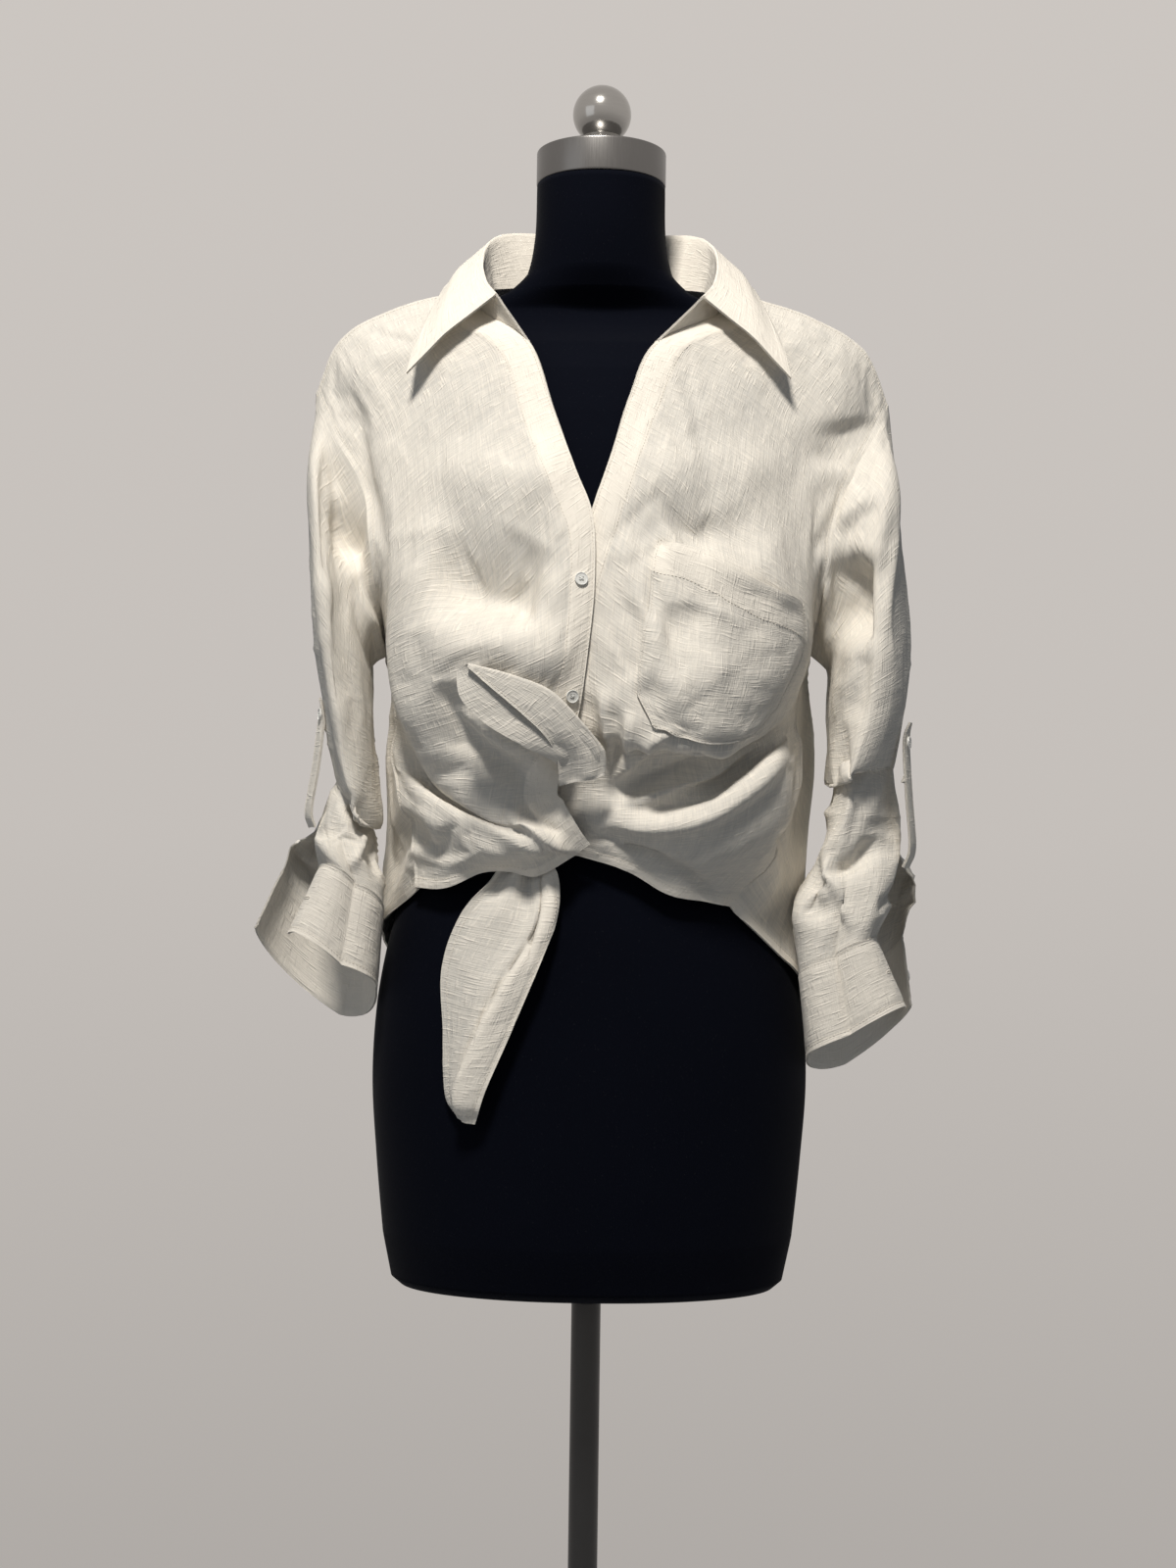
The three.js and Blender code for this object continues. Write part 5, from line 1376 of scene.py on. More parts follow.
def linen_finish(shirt):
    f = Finish("ivory linen")
    uv = f.node("ShaderNodeUVMap", {"uv_map": "cloth"})

    def grain(across, down, detail=2.0):
        return f.noise(f.stretched(uv, (across, down, 1)), 1.0, detail)

    warp, weft = grain(0.0010, 0.022), grain(0.022, 0.0010)
    wide_warp, wide_weft = grain(0.0034, 0.09), grain(0.09, 0.0030)
    slub_warp = f.band(grain(0.0018, 0.012, 0.0), 0.64, 0.78)
    slub_weft = f.band(grain(0.014, 0.0018, 0.0), 0.62, 0.78)
    threads = warp * 0.5 + weft * 0.5
    streaks = wide_warp * 0.5 + wide_weft * 0.5
    weave = f.band(threads, 0.34, 0.66) * 0.6 + f.band(streaks, 0.36, 0.64) * 0.4
    cloudy, creased = grain(0.05, 0.07, 3.0), grain(0.011, 0.014, 3.0)
    touch = f.node("ShaderNodeAttribute", {"attribute_name": "touch"}, out=2)
    double = f.node("ShaderNodeAttribute", {"attribute_name": "layers"}, out=2)
    light = tuple(shirt.linen_colour)[:3]
    open_weave = rgba([c * k for c, k in zip(light, (0.72, 0.74, 0.765))])
    over_black = rgba([c * k for c, k in zip(light, (0.62, 0.66, 0.72))])
    thick = rgba([min(1, c * 1.06) for c in light])
    colour = f.colour_mix(weave, open_weave, rgba(light))
    colour = f.colour_mix(f.band(cloudy, 0.4, 0.75) * 0.25, colour, open_weave)
    colour = f.colour_mix(touch * (1.2 - weave) * 0.35, colour, over_black)
    colour = f.colour_mix(double * 0.75, colour, thick)
    colour = f.colour_mix((slub_warp + slub_weft) * 0.5, colour, thick)
    f.set(Base_Color=colour, Roughness=0.88)
    f.set(Sheen_Weight=0.06, Sheen_Roughness=0.6)
    f.shader.inputs["Specular IOR Level"].default_value = 0.2
    f.bump(weave + slub_warp * 0.6 + slub_weft * 0.6 + creased * 2.2, 0.0005, 0.8)
    return f.material


def thread_finish(shirt):
    f = Finish("sewing thread")
    where = f.node("ShaderNodeTexCoord", out=3)
    twist = f.noise(where, 2500.0, 1.0)
    light = rgba(shirt.linen_colour, 0.93)
    f.set(Base_Color=f.colour_mix(twist, light, rgba(light, 0.8)), Roughness=0.6)
    return f.material


def jersey_finish(stand):
    f = Finish("black jersey")
    where = f.node("ShaderNodeTexCoord", out=3)
    ribs = f.noise(f.stretched(where, (0.0007, 0.0007, 0.003)), 1.0, 1.0)
    cloudy = f.noise(where, 14.0, 3.0)
    lint = f.band(f.noise(where, 900.0, 0.0), 0.76, 0.84)
    dark = rgba(stand.jersey_colour)
    grey = rgba([c * 1.8 + 0.0008 for c in dark[:3]])
    colour = f.colour_mix(ribs * 0.5 + cloudy * 0.4, dark, grey)
    colour = f.colour_mix(lint * 0.1, colour, (0.06, 0.06, 0.065, 1))
    f.set(Base_Color=colour, Roughness=0.9, Sheen_Weight=0.02, Sheen_Roughness=0.4)
    f.shader.inputs["Specular IOR Level"].default_value = 0.06
    f.bump(ribs, 0.0002, 0.5)
    return f.material


def brushed_finish(name, colour, size, low, high):
    """Metal with fine lines: size gives the grain's length along each axis."""
    f = Finish(name)
    where = f.node("ShaderNodeTexCoord", out=3)
    grain = f.noise(f.stretched(where, size), 1.0, 3.0, 0.7)
    wear = f.noise(where, 30.0, 3.0)
    gloss = f.node("ShaderNodeMapRange", {}, {"Value": grain, "To Min": low, "To Max": high})
    f.set(Base_Color=f.colour_mix(grain * 0.5 + wear * 0.2, rgba(colour, 0.75), rgba(colour)),
          Metallic=1.0, Roughness=gloss)
    f.bump(grain, 0.00005, 0.3)
    return f.material


def painted_finish(stand):
    f = Finish("satin black paint")
    where = f.node("ShaderNodeTexCoord", out=3)
    peel = f.noise(where, 420.0, 2.0)
    dust = f.noise(where, 25.0, 4.0)
    dark = rgba(stand.paint_colour)
    dusty = rgba([c * 2.2 + 0.01 for c in dark[:3]])
    f.set(Base_Color=f.colour_mix(f.band(dust, 0.5, 0.8) * 0.3, dark, dusty),
          Roughness=f.band(dust, 0.2, 0.9) * 0.2 + 0.36, Coat_Weight=0.2)
    f.bump(peel, 0.00008, 0.25)
    return f.material


def pearl_finish():
    f = Finish("pearl button")
    where = f.node("ShaderNodeTexCoord", out=3)
    layers = f.noise(f.stretched(where, (0.006, 0.006, 0.002)), 1.0, 3.0)
    f.set(Base_Color=f.colour_mix(layers, (0.86, 0.85, 0.80, 1), (0.70, 0.71, 0.70, 1)),
          Roughness=0.22, Coat_Weight=0.6)
    f.bump(layers, 0.00005, 0.2)
    return f.material


# Stitches

def stitch_tree(material):
    """Threads of a given length and width along lines, one at each step of the pitch."""
    tree = bpy.data.node_groups.new("Stitches", "GeometryNodeTree")
    face = tree.interface
    face.new_socket("Geometry", in_out="INPUT", socket_type="NodeSocketGeometry")
    for name, default in (("Pitch", 0.0028), ("Length", 0.002), ("Width", 0.0005)):
        socket = face.new_socket(name, in_out="INPUT", socket_type="NodeSocketFloat")
        socket.default_value = default
    face.new_socket("Geometry", in_out="OUTPUT", socket_type="NodeSocketGeometry")
    t = Nodes(tree)
    given = t.nodes.new("NodeGroupInput").outputs
    rows, pitch, length, width = (
        Value(t, given[name]) for name in ("Geometry", "Pitch", "Length", "Width"))
    curve = t.node("GeometryNodeMeshToCurve", {}, (rows,))
    spots = t.node("GeometryNodeResampleCurve", {"mode": "LENGTH"}, {
        "Curve": curve, "Length": pitch})
    bead = t.node("GeometryNodeMeshIcoSphere", {}, {"Radius": 0.5, "Subdivisions": 1})
    tangent = t.node("GeometryNodeInputTangent")
    along = t.node("FunctionNodeAlignRotationToVector", {"axis": "X"}, {"Vector": tangent})
    threads = t.node("GeometryNodeInstanceOnPoints", {}, {
        "Points": spots, "Instance": bead, "Rotation": along,
        "Scale": t.node("ShaderNodeCombineXYZ", {}, (length, width, width))})
    real = t.node("GeometryNodeRealizeInstances", {}, (threads,))
    sewn = t.node("GeometryNodeSetMaterial", {}, {"Geometry": real, "Material": material})
    t.links.new(sewn.socket, t.nodes.new("NodeGroupOutput").inputs[0])
    return tree


def inset_line(cloth, side, inset, wall, start=0.0, end=1.0):
    """A line that keeps an inset from one edge of a piece, on its outer face."""
    distance = cloth.from_edge(side)
    rows, columns = distance.shape
    along = side in ("left", "right")
    count = rows if along else columns
    picks = range(int(start * (count - 1)), int(end * (count - 1)) + 1)
    where = []
    for n in picks:
        run = distance[n] if along else distance[:, n]
        order = np.argsort(run)
        at = np.interp(inset, run[order], order)
        where.append((n, at) if along else (at, n))
    where = np.array(where, float)
    points = sample(cloth.grid, where[:, 0], where[:, 1])
    normals = unit(sample(cloth.normals, where[:, 0], where[:, 1]))
    layers = sample(cloth.layers[..., None], where[:, 0], where[:, 1])
    return points + normals * (wall / 2 + 0.15 + layers * wall * HEM_WALL)


def grid_line(cloth, lines, columns, wall):
    points = sample(cloth.grid, lines, columns)
    normals = unit(sample(cloth.normals, lines, columns))
    return points + normals * (wall / 2 + 0.12)


def modified_mesh(piece, name):
    """The evaluated mesh of a piece, as a plain one."""
    graph = bpy.context.evaluated_depsgraph_get()
    graph.update()
    mesh = bpy.data.meshes.new_from_object(piece.evaluated_get(graph))
    mesh.name = name
    return mesh


# Settings

class ShirtSettings(bpy.types.PropertyGroup):
    wall: bpy.props.FloatProperty(
        name="Cloth thickness", description="Thickness of one layer of linen",
        default=0.001, min=0.0004, max=0.003, precision=4, unit="LENGTH")
    fold_depth: bpy.props.FloatProperty(
        name="Fold depth", description="How deep the folds are, against those of the worn shirt",
        default=1.5, min=0.0, max=2.5, subtype="FACTOR")
    crumple: bpy.props.FloatProperty(
        name="Crumple", description="Height of the small creases all over the cloth",
        default=0.0014, min=0.0, max=0.004, precision=4, unit="LENGTH")
    settle: bpy.props.BoolProperty(
        name="Settle the cloth", description="Let the sewn cloth sag and buckle on the form",
        default=True)
    settle_frames: bpy.props.IntProperty(
        name="Settling steps", description="Steps for which the cloth settles",
        default=16, min=2, max=40)
    ease_cut: bpy.props.FloatProperty(
        name="Extra cloth", description="How much larger the cloth is cut before it settles",
        default=0.04, min=0.0, max=0.1, subtype="FACTOR")
    bending: bpy.props.FloatProperty(
        name="Crispness", description="How strongly the linen resists bending",
        default=0.3, min=0.0, max=5.0)
    linen_colour: bpy.props.FloatVectorProperty(
        name="Linen", description="Colour of the linen in full light",
        default=(0.87, 0.815, 0.725), min=0.0, max=1.0, subtype="COLOR")
    stitch_pitch: bpy.props.FloatProperty(
        name="Stitch pitch", description="Distance from one stitch to the next",
        default=0.0029, min=0.0015, max=0.006, precision=4, unit="LENGTH")
    stitch_length: bpy.props.FloatProperty(
        name="Stitch length", description="Length of thread that shows in one stitch",
        default=0.0021, min=0.001, max=0.005, precision=4, unit="LENGTH")
    thread_width: bpy.props.FloatProperty(
        name="Thread width", description="Thickness of the sewing thread",
        default=0.0006, min=0.0002, max=0.001, precision=5, unit="LENGTH")
    button_radius: bpy.props.FloatProperty(
        name="Button radius", description="Radius of the sewn buttons",
        default=0.005, min=0.004, max=0.008, precision=4, unit="LENGTH")
    button_height: bpy.props.FloatProperty(
        name="Button thickness", description="Thickness of the sewn buttons at the rim",
        default=0.0018, min=0.001, max=0.003, precision=4, unit="LENGTH")


class StandSettings(bpy.types.PropertyGroup):
    jersey_colour: bpy.props.FloatVectorProperty(
        name="Jersey", description="Colour of the knitted cover of the form",
        default=(0.0007, 0.0012, 0.0036), min=0.0, max=1.0, subtype="COLOR")
    paint_colour: bpy.props.FloatVectorProperty(
        name="Stand paint", description="Colour of the painted pole and base",
        default=(0.006, 0.006, 0.0065), min=0.0, max=1.0, subtype="COLOR")
    form_sides: bpy.props.IntProperty(
        name="Form sides", description="Points round the form at each height",
        default=128, min=48, max=256)
    turned_sides: bpy.props.IntProperty(
        name="Turned sides", description="Sides of the turned pieces",
        default=96, min=32, max=192)


class StageSettings(bpy.types.PropertyGroup):
    key_power: bpy.props.FloatProperty(
        name="Key light", description="Power of the main light",
        default=80.0, min=0.0, unit="POWER")
    back_power: bpy.props.FloatProperty(
        name="Back light", description="Power of the soft light behind the shirt, in watts",
        default=34.0, min=0.0, unit="POWER")
    fill_power: bpy.props.FloatProperty(
        name="Fill light", description="Power of the softer light",
        default=4.0, min=0.0, unit="POWER")
    room_light: bpy.props.FloatProperty(
        name="Room light", description="Strength of the even light all round",
        default=0.15, min=0.0)
    floor_colour: bpy.props.FloatVectorProperty(
        name="Floor", description="Colour of the floor",
        default=(0.62, 0.61, 0.60), min=0.0, max=1.0, subtype="COLOR")
    room_colour: bpy.props.FloatVectorProperty(
        name="Room", description="Colour of the room behind the shirt",
        default=(0.575, 0.54, 0.51), min=0.0, max=1.0, subtype="COLOR")


# Pieces

LINEN = {}


def settings():
    scene = bpy.context.scene
    return scene.shirt, scene.shirt_stand, scene.shirt_stage


def linen(shirt):
    if not LINEN:
        LINEN["linen"] = linen_finish(shirt)
        LINEN["thread"] = thread_finish(shirt)
        LINEN["pearl"] = pearl_finish()
    return LINEN["linen"]


def hang(node, held, rests_on):
    shirt = settings()[0]
    cloth = sewn_shirt(shirt)[node]
    return cloth_object(node, cloth, shirt.wall / MM, linen(shirt))


class SHIRT_OT_form(bpy.types.Operator):
    """Makes the limbless dress form in its black knitted cover"""
    bl_idname = "shirt.form"
    bl_label = "Dress form"

    def execute(self, context):
        stand = settings()[1]
        sides = stand.form_sides
        turns = 2 * math.pi * np.arange(sides) / sides
        c, s = np.cos(turns), np.sin(turns)
        power = 2 / FORM_SQUARENESS
        ups = np.unique(np.concatenate([np.linspace(FORM_BOTTOM, FORM_TOP, 220), SECTION_UPS]))
        rings = []
        for up in ups:
            half, front, rear = (form_size(np.array(up), key) for key in ("half", "front", "back"))
            across = half * np.sign(c) * np.abs(c) ** power
            depth = np.where(s < 0, front, rear) * np.sign(s) * np.abs(s) ** power
            rings.append(np.stack([across, depth, np.full(sides, up)], -1))
        low, high = rings[0], rings[-1]
        under = [low * (k, k, 1) - (0, 0, FORM_DISH * (1 - k * k) ** 0.5)
                 for k in (0.3, 0.6, 0.85, 0.96)]
        over = [high * (k, k, 1) for k in (0.92, 0.5)]
        grid = np.array(under + rings + over)
        grid[:, :, 2] = np.minimum(grid[:, :, 2], FORM_TOP)
        points = [(0, 0, (FORM_BOTTOM - FORM_DISH) * MM)]
        points += [tuple(p) for p in grid.reshape(-1, 3) * MM]
        points.append((0, 0, FORM_TOP * MM))
        faces = turned_faces(sides, len(grid))
        piece = new_object("form_jersey", mesh_from("form_jersey", points, faces))
        finish_piece(piece, "form_torso", jersey_finish(stand))
        return {"FINISHED"}


class SHIRT_OT_stand(bpy.types.Operator):
    """Makes the base, the pole, its collar, the neck ring and the finial"""
    bl_idname = "shirt.stand"
    bl_label = "Stand"

    def execute(self, context):
        stand = settings()[1]
        paint = painted_finish(stand)
        steel = brushed_finish(
            "brushed steel", (0.24, 0.235, 0.23), (0.0006, 0.0006, 0.02), 0.22, 0.42)
        polished = brushed_finish(
            "polished steel", (0.55, 0.54, 0.52), (0.02, 0.02, 0.0008), 0.10, 0.20)
        rise = BASE_HEIGHT + 2
        collar_top = FORM_BOTTOM - FORM_DISH - STAND_GAP
        collar_foot = collar_top - POLE_COLLAR_HEIGHT
        ring_foot = FORM_TOP + STAND_GAP
        ring_top = ring_foot + NECK_RING_HEIGHT
        foot = ring_top + STAND_GAP
        crown = FINIAL_BALL_UP + FINIAL_BALL_RADIUS
        ball = [(FINIAL_BALL_RADIUS * math.cos(a),
                 FINIAL_BALL_UP + FINIAL_BALL_RADIUS * math.sin(a))
                for a in np.radians(np.arange(-50, 90, 7))]
        profiles = (
            ("base", paint, "black_paint", rounded([
                (0, 0), (BASE_RADIUS, 0), (BASE_RADIUS, BASE_HEIGHT),
                (SOCKET_RADIUS + 3, rise), (SOCKET_RADIUS, rise + 3),
                (SOCKET_RADIUS, SOCKET_TOP), (0, SOCKET_TOP)], BASE_EDGE)),
            ("pole", paint, "black_paint", post(
                POLE_RADIUS, SOCKET_TOP + STAND_GAP, collar_foot - STAND_GAP, 0.6)),
            ("pole_collar", steel, "brushed_metal", post(
                POLE_COLLAR_RADIUS, collar_foot, collar_top, 1.5)),
            ("neck_ring", steel, "brushed_metal", post(NECK_RING_RADIUS, ring_foot, ring_top, 1.8)),
            ("finial", polished, "polished_metal", rounded([
                (0, foot), (FINIAL_FOOT_RADIUS, foot), (FINIAL_FOOT_RADIUS, foot + 3),
                (FINIAL_NECK_RADIUS, foot + 6)], 0.8)[:-1] + ball + [(0, crown)]),
        )
        for node, finish, slot, profile in profiles:
            name = node + "_turned"
            mesh = turned_mesh(name, profile, stand.turned_sides)
            mesh.set_sharp_from_angle(angle=math.radians(40))
            finish_piece(new_object(name, mesh), node, finish)
        return {"FINISHED"}


class SHIRT_OT_fronts(bpy.types.Operator):
    """Hangs the two fronts, with their button bands and the knot"""
    bl_idname = "shirt.fronts"
    bl_label = "Fronts"

    def execute(self, context):
        hang("front_right", "draped", ["form_jersey"])
        hang("front_left", "draped", ["form_jersey"])
        return {"FINISHED"}


class SHIRT_OT_back(bpy.types.Operator):
    """Hangs the back, sewn to the fronts at the shoulders and sides"""
    bl_idname = "shirt.back"
    bl_label = "Back"

    def execute(self, context):
        hang("back", "draped", ["form_jersey"])
        return {"FINISHED"}


class SHIRT_OT_collar(bpy.types.Operator):
    """Folds the collar down over the shirt"""
    bl_idname = "shirt.collar"
    bl_label = "Collar"

    def execute(self, context):
        hang("collar", "folded", ["back_linen"])
        return {"FINISHED"}


class SHIRT_OT_sleeves(bpy.types.Operator):
    """Hangs the sleeves and their cuffs"""
    bl_idname = "shirt.sleeves"
    bl_label = "Sleeves and cuffs"

    def execute(self, context):
        for side in ("right", "left"):
            hang("sleeve_" + side, "hung", [f"front_{side}_linen"])
            hang("cuff_" + side, "hung", [f"sleeve_{side}_linen"])
        return {"FINISHED"}


class SHIRT_OT_pocket(bpy.types.Operator):
    """Sews the patch pocket on the left front"""
    bl_idname = "shirt.pocket"
    bl_label = "Pocket"

    def execute(self, context):
        hang("pocket", "laid", ["front_left_linen"])
        return {"FINISHED"}


class SHIRT_OT_tie_ends(bpy.types.Operator):
    """Adds the two ends that come out of the knot"""
    bl_idname = "shirt.tie_ends"
    bl_label = "Tie ends"

    def execute(self, context):
        hang("tie_end_right", "folded", ["front_right_linen"])
        hang("tie_end_left", "hung", ["front_right_linen"])
        return {"FINISHED"}


class SHIRT_OT_tabs(bpy.types.Operator):
    """Lays the roll-up tabs on the sleeves"""
    bl_idname = "shirt.tabs"
    bl_label = "Sleeve tabs"

    def execute(self, context):
        hang("tab_right", "laid", ["sleeve_right_linen"])
        hang("tab_left", "laid", ["sleeve_left_linen"])
        return {"FINISHED"}


def button_mesh(name, radius, height):
    """A sew-through button in metres, its face towards Z, with its four holes open."""
    hole_ring, hole = radius * 0.3, radius * 0.15
    rim = radius * 0.8
    dish = height * 0.72
    mesh = bmesh.new()

    def loop(cx, cy, r, z, count):
        return [mesh.verts.new((cx + r * math.cos(a), cy + r * math.sin(a), z))
                for a in 2 * math.pi * np.arange(count) / count]

    def fill(loops, up):
        edges = []
        for ring in loops:
            for a, b in zip(ring, ring[1:] + ring[:1]):
                edges.append(mesh.edges.get((a, b)) or mesh.edges.new((a, b)))
        made = bmesh.ops.triangle_fill(mesh, use_beauty=True, edges=edges, normal=(0, 0, up))
        for face in made["geom"]:
            if isinstance(face, bmesh.types.BMFace) and face.normal.z * up < 0:
                face.normal_flip()

    def wall(low, high, out=True):
        for n in range(len(low)):
            m = (n + 1) % len(low)
            corners = (low[n], low[m], high[m], high[n])
            mesh.faces.new(corners if out else corners[::-1])

    count = 40
    profile = ((rim, dish), (rim + radius * 0.05, height * 0.95), (radius * 0.92, height),
               (radius * 0.98, height * 0.88), (radius, height * 0.55),
               (radius * 0.96, height * 0.12), (radius * 0.86, 0))
    rings = [loop(0, 0, r, z, count) for r, z in profile]
    for high, low in zip(rings, rings[1:]):
        wall(low, high)
    centres = [(hole_ring * math.cos(a), hole_ring * math.sin(a))
               for a in math.pi / 4 + math.pi / 2 * np.arange(4)]
    tops = [loop(x, y, hole, dish, 12) for x, y in centres]
    lows = [loop(x, y, hole, 0, 12) for x, y in centres]
    for low, high in zip(lows, tops):
        wall(low, high, False)
    mesh.normal_update()
    fill([rings[0]] + tops, 1)
    fill([rings[-1]] + lows, -1)
    for a, b in ((0, 2), (1, 3)):
        add_thread(mesh, centres[a], centres[b], dish, height, radius * 0.07)
    data = bpy.data.meshes.new(name)
    mesh.to_mesh(data)
    mesh.free()
    data.polygons.foreach_set("use_smooth", [True] * len(data.polygons))
    data.set_sharp_from_angle(angle=math.radians(35))
    return data


def add_thread(mesh, start, end, dish, height, radius):
    """One sewn thread that comes up at one hole and goes down at another."""
    bend = [(0.0, -0.3), (0.0, 0.05), (0.12, 0.16), (0.5, 0.22), (0.88, 0.16), (1.0, 0.05),
            (1.0, -0.3)]
    ax, ay = start
    bx, by = end
    along = Vector((bx - ax, by - ay, 0)).normalized()
    side = Vector((0, 0, 1)).cross(along)
    spots = [Vector((ax + (bx - ax) * t, ay + (by - ay) * t, dish + up * height)) for t, up in bend]
    rings = []
    for k, spot in enumerate(spots):
        run = (spots[min(k + 1, len(spots) - 1)] - spots[max(k - 1, 0)]).normalized()
        up = run.cross(side)
        rings.append([mesh.verts.new(spot + side * radius * math.cos(a) + up * radius * math.sin(a))
                      for a in 2 * math.pi * np.arange(6) / 6])
    for low, high in zip(rings, rings[1:]):
        for n in range(6):
            m = (n + 1) % 6
            mesh.faces.new((low[n], low[m], high[m], high[n]))
    mesh.faces.new(rings[0][::-1])
    mesh.faces.new(rings[-1])


def grid_spot(cloth, line, column):
    at = (np.array([float(line)]), np.array([float(column)]))
    return sample(cloth.grid, *at)[0], unit(sample(cloth.normals, *at))[0]


def button_spots(shirt):
    """Each button's node, the point under it and its direction."""
    cut = sewn_shirt(shirt)
    right = cut["front_right"]
    spots = []
    for n, (column, row) in enumerate(FRONT_BUTTONS):
        spot = grid_spot(right, row * DOWN_STEPS, column * PANEL_STEPS)
        spots.append((f"front_button_{n + 1}", *spot))
    for side in ("right", "left"):
        tab = cut["tab_" + side]
        spot = grid_spot(tab, DOWN_STEPS, (tab.grid.shape[1] - 1) / 2)
        spots.append(("tab_button_" + side, *spot))
    for side in ("right", "left"):
        cuff = cut["cuff_" + side]
        rows, columns = cuff.grid.shape[:2]
        spot = grid_spot(cuff, (rows - 1) / 2, (columns - 1) * CUFF_BUTTON_SHARE)
        spots.append(("cuff_button_" + side, *spot))
    return spots


class SHIRT_OT_buttons(bpy.types.Operator):
    """Sews on the front, tab and cuff buttons"""
    bl_idname = "shirt.buttons"
    bl_label = "Buttons"

    def execute(self, context):
        shirt = settings()[0]
        linen(shirt)
        for node, spot, direction in button_spots(shirt):
            mesh = button_mesh(node + "_sewn", shirt.button_radius, shirt.button_height)
            back = Vector(spot) * MM + Vector(direction) * (shirt.wall * 1.15 + 0.0002)
            turn = Vector(direction).to_track_quat("Z", "Y").to_matrix().to_4x4()
            mesh.transform(Matrix.Translation(back) @ turn)
            finish_piece(new_object(node + "_sewn", mesh), node, LINEN["pearl"])
        return {"FINISHED"}


def slot_line(piece, row, column, length, width, wall):
    """The outline of a buttonhole that runs along a piece's lines."""
    rows, columns = piece.grid.shape[:2]
    i, j = row * (rows - 1), column * (columns - 1)
    across, down = piece.runs()
    per_column = across[int(i), -1] / (columns - 1)
    per_row = down[-1, int(j)] / (rows - 1)
    turns = 2 * math.pi * np.arange(41) / 40
    wide = np.sign(np.cos(turns)) * np.abs(np.cos(turns)) ** 0.4 * length / 2 / per_column
    high = np.sign(np.sin(turns)) * np.abs(np.sin(turns)) ** 0.4 * width / 2 / per_row
    points = grid_line(piece, i + high, j + wide, wall)
    normal = unit(sample(piece.normals, np.array([i]), np.array([j])))
    return points + normal * wall * HEM_WALL


def sew_rows(name, rows, pitch, length, width):
    """Turns rows of points in mm into one plain mesh of stitches."""
    points, edges = [], []
    for row in rows:
        start = len(points)
        points += [tuple(p) for p in row * MM]
        edges += [(k, k + 1) for k in range(start, len(points) - 1)]
    lines = bpy.data.meshes.new(name + "_lines")
    lines.from_pydata(points, edges, [])
    maker = new_object(name + "_lines", lines)
    modifier = maker.modifiers.new("Stitches", "NODES")
    modifier.node_group = stitch_tree(LINEN["thread"])
    sizes = {"Pitch": pitch, "Length": length, "Width": width}
    for item in modifier.node_group.interface.items_tree:
        if item.in_out == "INPUT" and item.name in sizes:
            modifier[item.identifier] = sizes[item.name]
    piece = new_object(name, modified_mesh(maker, name))
    maker.modifiers.clear()
    bpy.data.objects.remove(maker)
    return finish_piece(piece, None, LINEN["thread"])


class SHIRT_OT_stitching(bpy.types.Operator):
    """Runs the rows of stitches along the edges, hems and seams"""
    bl_idname = "shirt.stitching"
    bl_label = "Stitching"

    def execute(self, context):
        shirt = settings()[0]
        linen(shirt)
        cut = sewn_shirt(shirt)
        wall = shirt.wall / MM
        rows = [inset_line(cut[seam["piece"]], seam["side"], seam["inset"], wall,
                           seam["start"], seam["end"]) for seam in SEAMS]
        sew_rows("stitching", rows, shirt.stitch_pitch, shirt.stitch_length, shirt.thread_width)
        slots = [slot_line(cut[h["piece"]], h["down"], h["across"], h["length"],
                           BUTTONHOLE_WIDTH, wall) for h in BUTTONHOLES]
        sew_rows("buttonhole_stitching", slots, 0.0008, 0.0012, 0.0009)
        return {"FINISHED"}


# Where the lights point, in metres, and their colours
LIGHT_AIM = (0, 0, 1.1)
WARM_LIGHT = (1.0, 0.955, 0.89)
COOL_LIGHT = (0.88, 0.94, 1.0)


def room_world(stage):
    """Even light all round, and a pale room to be seen behind the shirt, with painted shade that
    darkens it towards the bottom like a wall lit from above.
    """
    world = bpy.data.worlds.new("room")
    world.use_nodes = True
    w = Nodes(world.node_tree)
    light = w.nodes["Background"]
    light.inputs["Color"].default_value = (0.86, 0.92, 1.0, 1)
    light.inputs["Strength"].default_value = stage.room_light
    up = w.node("ShaderNodeSeparateXYZ", {}, (w.node("ShaderNodeTexCoord"),), out=2)
    # Painted shade: the room seen behind the shirt and in reflections goes darker towards the
    # bottom, as a wall lit from above would
    painted_wall_shade = w.node("ShaderNodeValToRGB", {"stops": [
        (at, rgba(stage.room_colour, share)) for at, share in ((0, 0.66), (0.52, 0.97), (1, 1.06))
    ]}, (w.band(up, -0.4, 0.4),))
    seen = w.node("ShaderNodeBackground", {}, (painted_wall_shade,))
    rays = [w.node("ShaderNodeLightPath", out=name) for name in ("Is Camera Ray", "Is Glossy Ray")]
    either = w.node("ShaderNodeMath", {"operation": "MAXIMUM"}, rays)
    room = w.node("ShaderNodeMixShader", {}, (either, Value(w, light.outputs[0]), seen))
    w.links.new(room.socket, w.nodes["World Output"].inputs["Surface"])
    return world


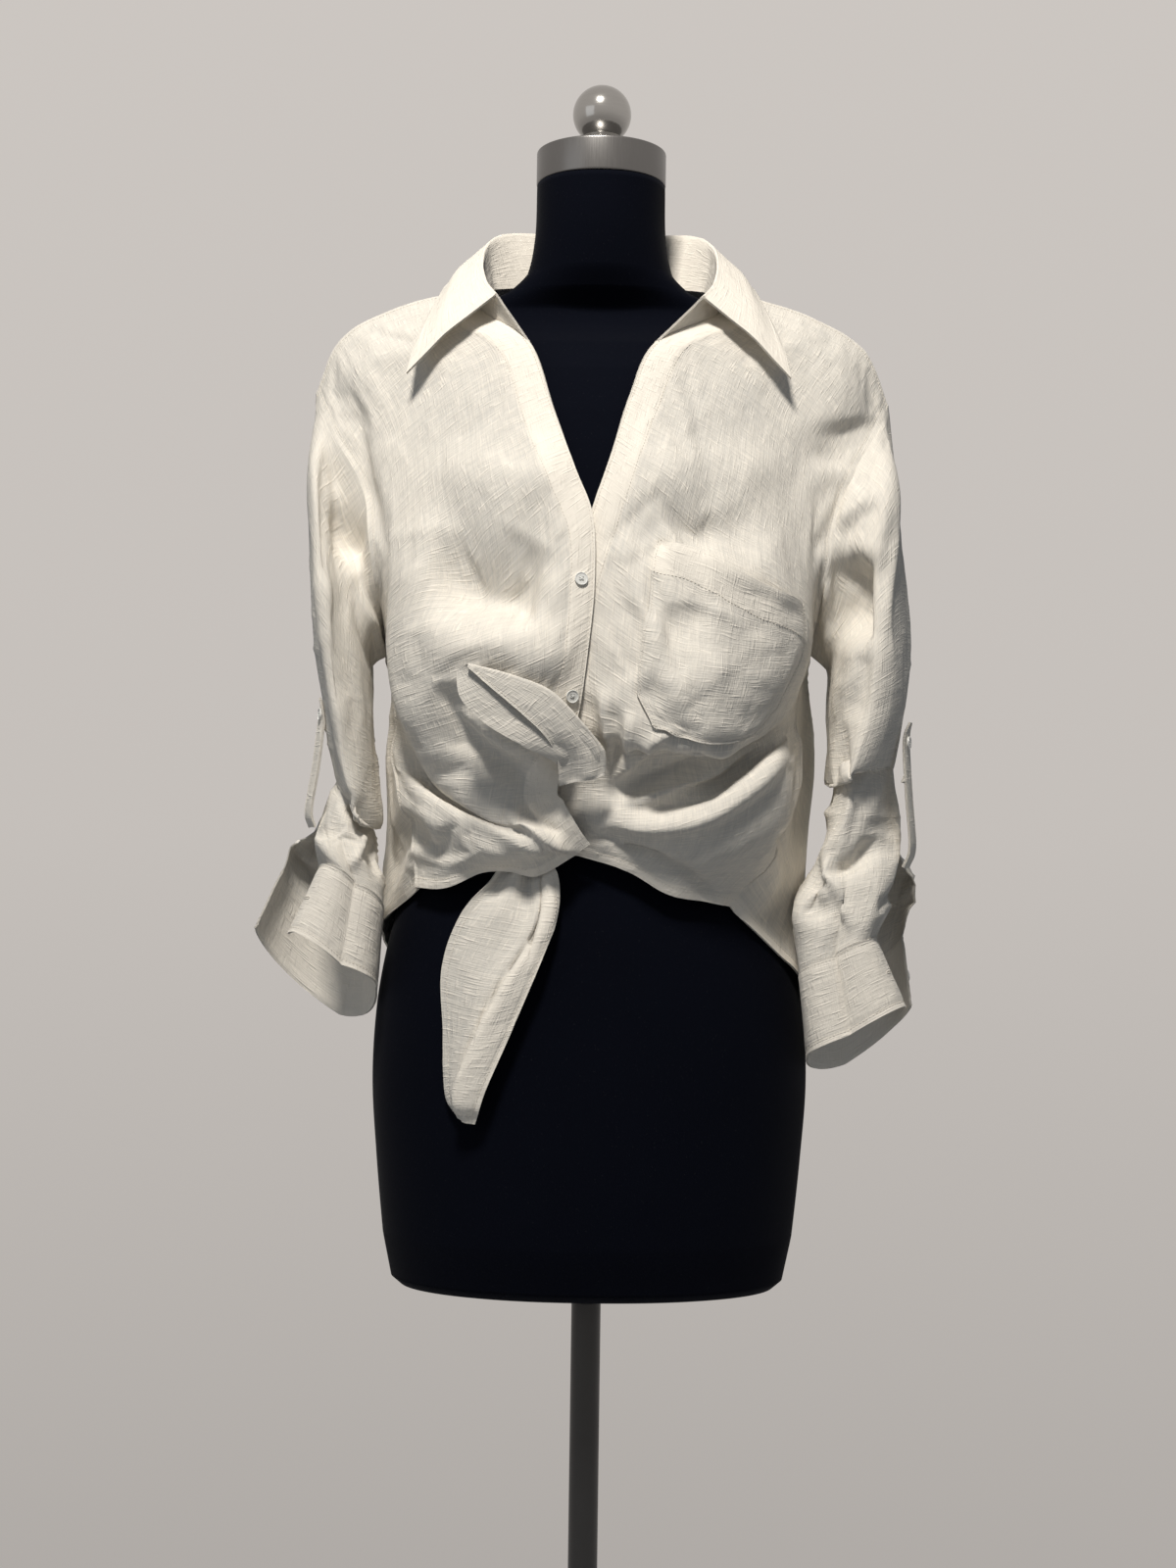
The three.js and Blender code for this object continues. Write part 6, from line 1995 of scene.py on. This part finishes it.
class SHIRT_OT_stage(bpy.types.Operator):
    """Sets the floor, the room, the lights and the camera"""
    bl_idname = "shirt.stage"
    bl_label = "Studio"

    def execute(self, context):
        stage = settings()[2]
        radii = np.linspace(0, FLOOR_RADIUS, 9)[1:]
        turns = 2 * math.pi * np.arange(FLOOR_SIDES) / FLOOR_SIDES
        points = [(0, 0, 0)] + [(r * math.cos(a), r * math.sin(a), 0) for r in radii for a in turns]
        pairs = [(n, (n + 1) % FLOOR_SIDES) for n in range(FLOOR_SIDES)]
        faces = [(0, 1 + n, 1 + m) for n, m in pairs]
        for ring in range(len(radii) - 1):
            a, b = 1 + ring * FLOOR_SIDES, 1 + (ring + 1) * FLOOR_SIDES
            faces += [(a + n, b + n, b + m, a + m) for n, m in pairs]
        floor = new_object("floor", mesh_from("floor", points, faces))
        f = Finish("painted floor")
        where = f.node("ShaderNodeTexCoord", out=3)
        tone = rgba(stage.floor_colour)
        away = f.node("ShaderNodeVectorMath", {"operation": "LENGTH"}, (where,), out=1)
        fade = f.node("ShaderNodeMapRange", {"interpolation_type": "SMOOTHSTEP"}, {
            "Value": away, "From Min": FLOOR_RADIUS * 0.55, "From Max": FLOOR_RADIUS,
            "To Min": 1.0, "To Max": 0.0})
        f.set(Base_Color=f.colour_mix(f.noise(where, 3.0, 3.0), tone, rgba(tone, 0.94)),
              Roughness=0.85, Alpha=fade)
        f.bump(f.noise(where, 120.0, 3.0), 0.0004, 0.3)
        floor.data.materials.append(f.material)
        for name, power, size, place_at, colour in (
                ("key", stage.key_power, (0.45, 0.45), (-0.3, -1.6, 3.25), WARM_LIGHT),
                ("fill", stage.fill_power, (1.8, 1.8), (-2.2, -1.9, 1.7), COOL_LIGHT),
                ("back light", stage.back_power, (1.2, 0.8), (-0.6, 2.2, 2.1), COOL_LIGHT)):
            data = bpy.data.lights.new(name, "AREA")
            data.shape = "RECTANGLE"
            data.size, data.size_y = size
            data.energy = power
            data.color = colour
            lamp = bpy.data.objects.new(name, data)
            lamp.location = place_at
            lamp.visible_camera = False
            lamp.visible_glossy = name != "back light"
            aim = Vector(LIGHT_AIM) - Vector(place_at)
            lamp.rotation_euler = aim.to_track_quat("-Z", "Y").to_euler()
            context.scene.collection.objects.link(lamp)
        context.scene.world = room_world(stage)
        context.scene.view_settings.view_transform = "Standard"
        lens = bpy.data.cameras.new("camera")
        lens.lens = LENS
        lens.sensor_width = 36
        lens.clip_end = 50
        camera = bpy.data.objects.new("camera", lens)
        tilt = Matrix.Rotation(math.radians(EYE_TILT), 4, "X")
        roll = Matrix.Rotation(math.radians(EYE_ROLL), 4, "Z")
        eye = Matrix.Translation((EYE_ACROSS * MM, -EYE_DISTANCE * MM, EYE_UP * MM))
        camera.matrix_world = eye @ tilt @ roll
        context.scene.collection.objects.link(camera)
        context.scene.camera = camera
        return {"FINISHED"}


class SHIRT_PT_panel(bpy.types.Panel):
    """Lists the pieces and their settings"""
    bl_idname = "SHIRT_PT_panel"
    bl_label = "Knotted linen shirt"
    bl_space_type = "VIEW_3D"
    bl_region_type = "UI"
    bl_category = "Shirt"

    def draw(self, context):
        layout = self.layout
        for group in (context.scene.shirt, context.scene.shirt_stand, context.scene.shirt_stage):
            box = layout.box()
            for name in group.__annotations__:
                box.prop(group, name)
        for operator in OPERATORS:
            layout.operator(operator.bl_idname)


OPERATORS = (
    SHIRT_OT_stage, SHIRT_OT_form, SHIRT_OT_stand, SHIRT_OT_fronts, SHIRT_OT_back, SHIRT_OT_collar,
    SHIRT_OT_sleeves, SHIRT_OT_pocket, SHIRT_OT_tie_ends, SHIRT_OT_tabs, SHIRT_OT_buttons,
    SHIRT_OT_stitching)
CLASSES = (ShirtSettings, StandSettings, StageSettings) + OPERATORS + (SHIRT_PT_panel,)


def register():
    for kind in CLASSES:
        bpy.utils.register_class(kind)
    bpy.types.Scene.shirt = bpy.props.PointerProperty(type=ShirtSettings)
    bpy.types.Scene.shirt_stand = bpy.props.PointerProperty(type=StandSettings)
    bpy.types.Scene.shirt_stage = bpy.props.PointerProperty(type=StageSettings)


def unregister():
    del bpy.types.Scene.shirt
    del bpy.types.Scene.shirt_stand
    del bpy.types.Scene.shirt_stage
    for kind in reversed(CLASSES):
        bpy.utils.unregister_class(kind)


def main():
    register()
    for operator in OPERATORS:
        group, name = operator.bl_idname.split(".")
        getattr(getattr(bpy.ops, group), name)()


if __name__ == "__main__":
    main()
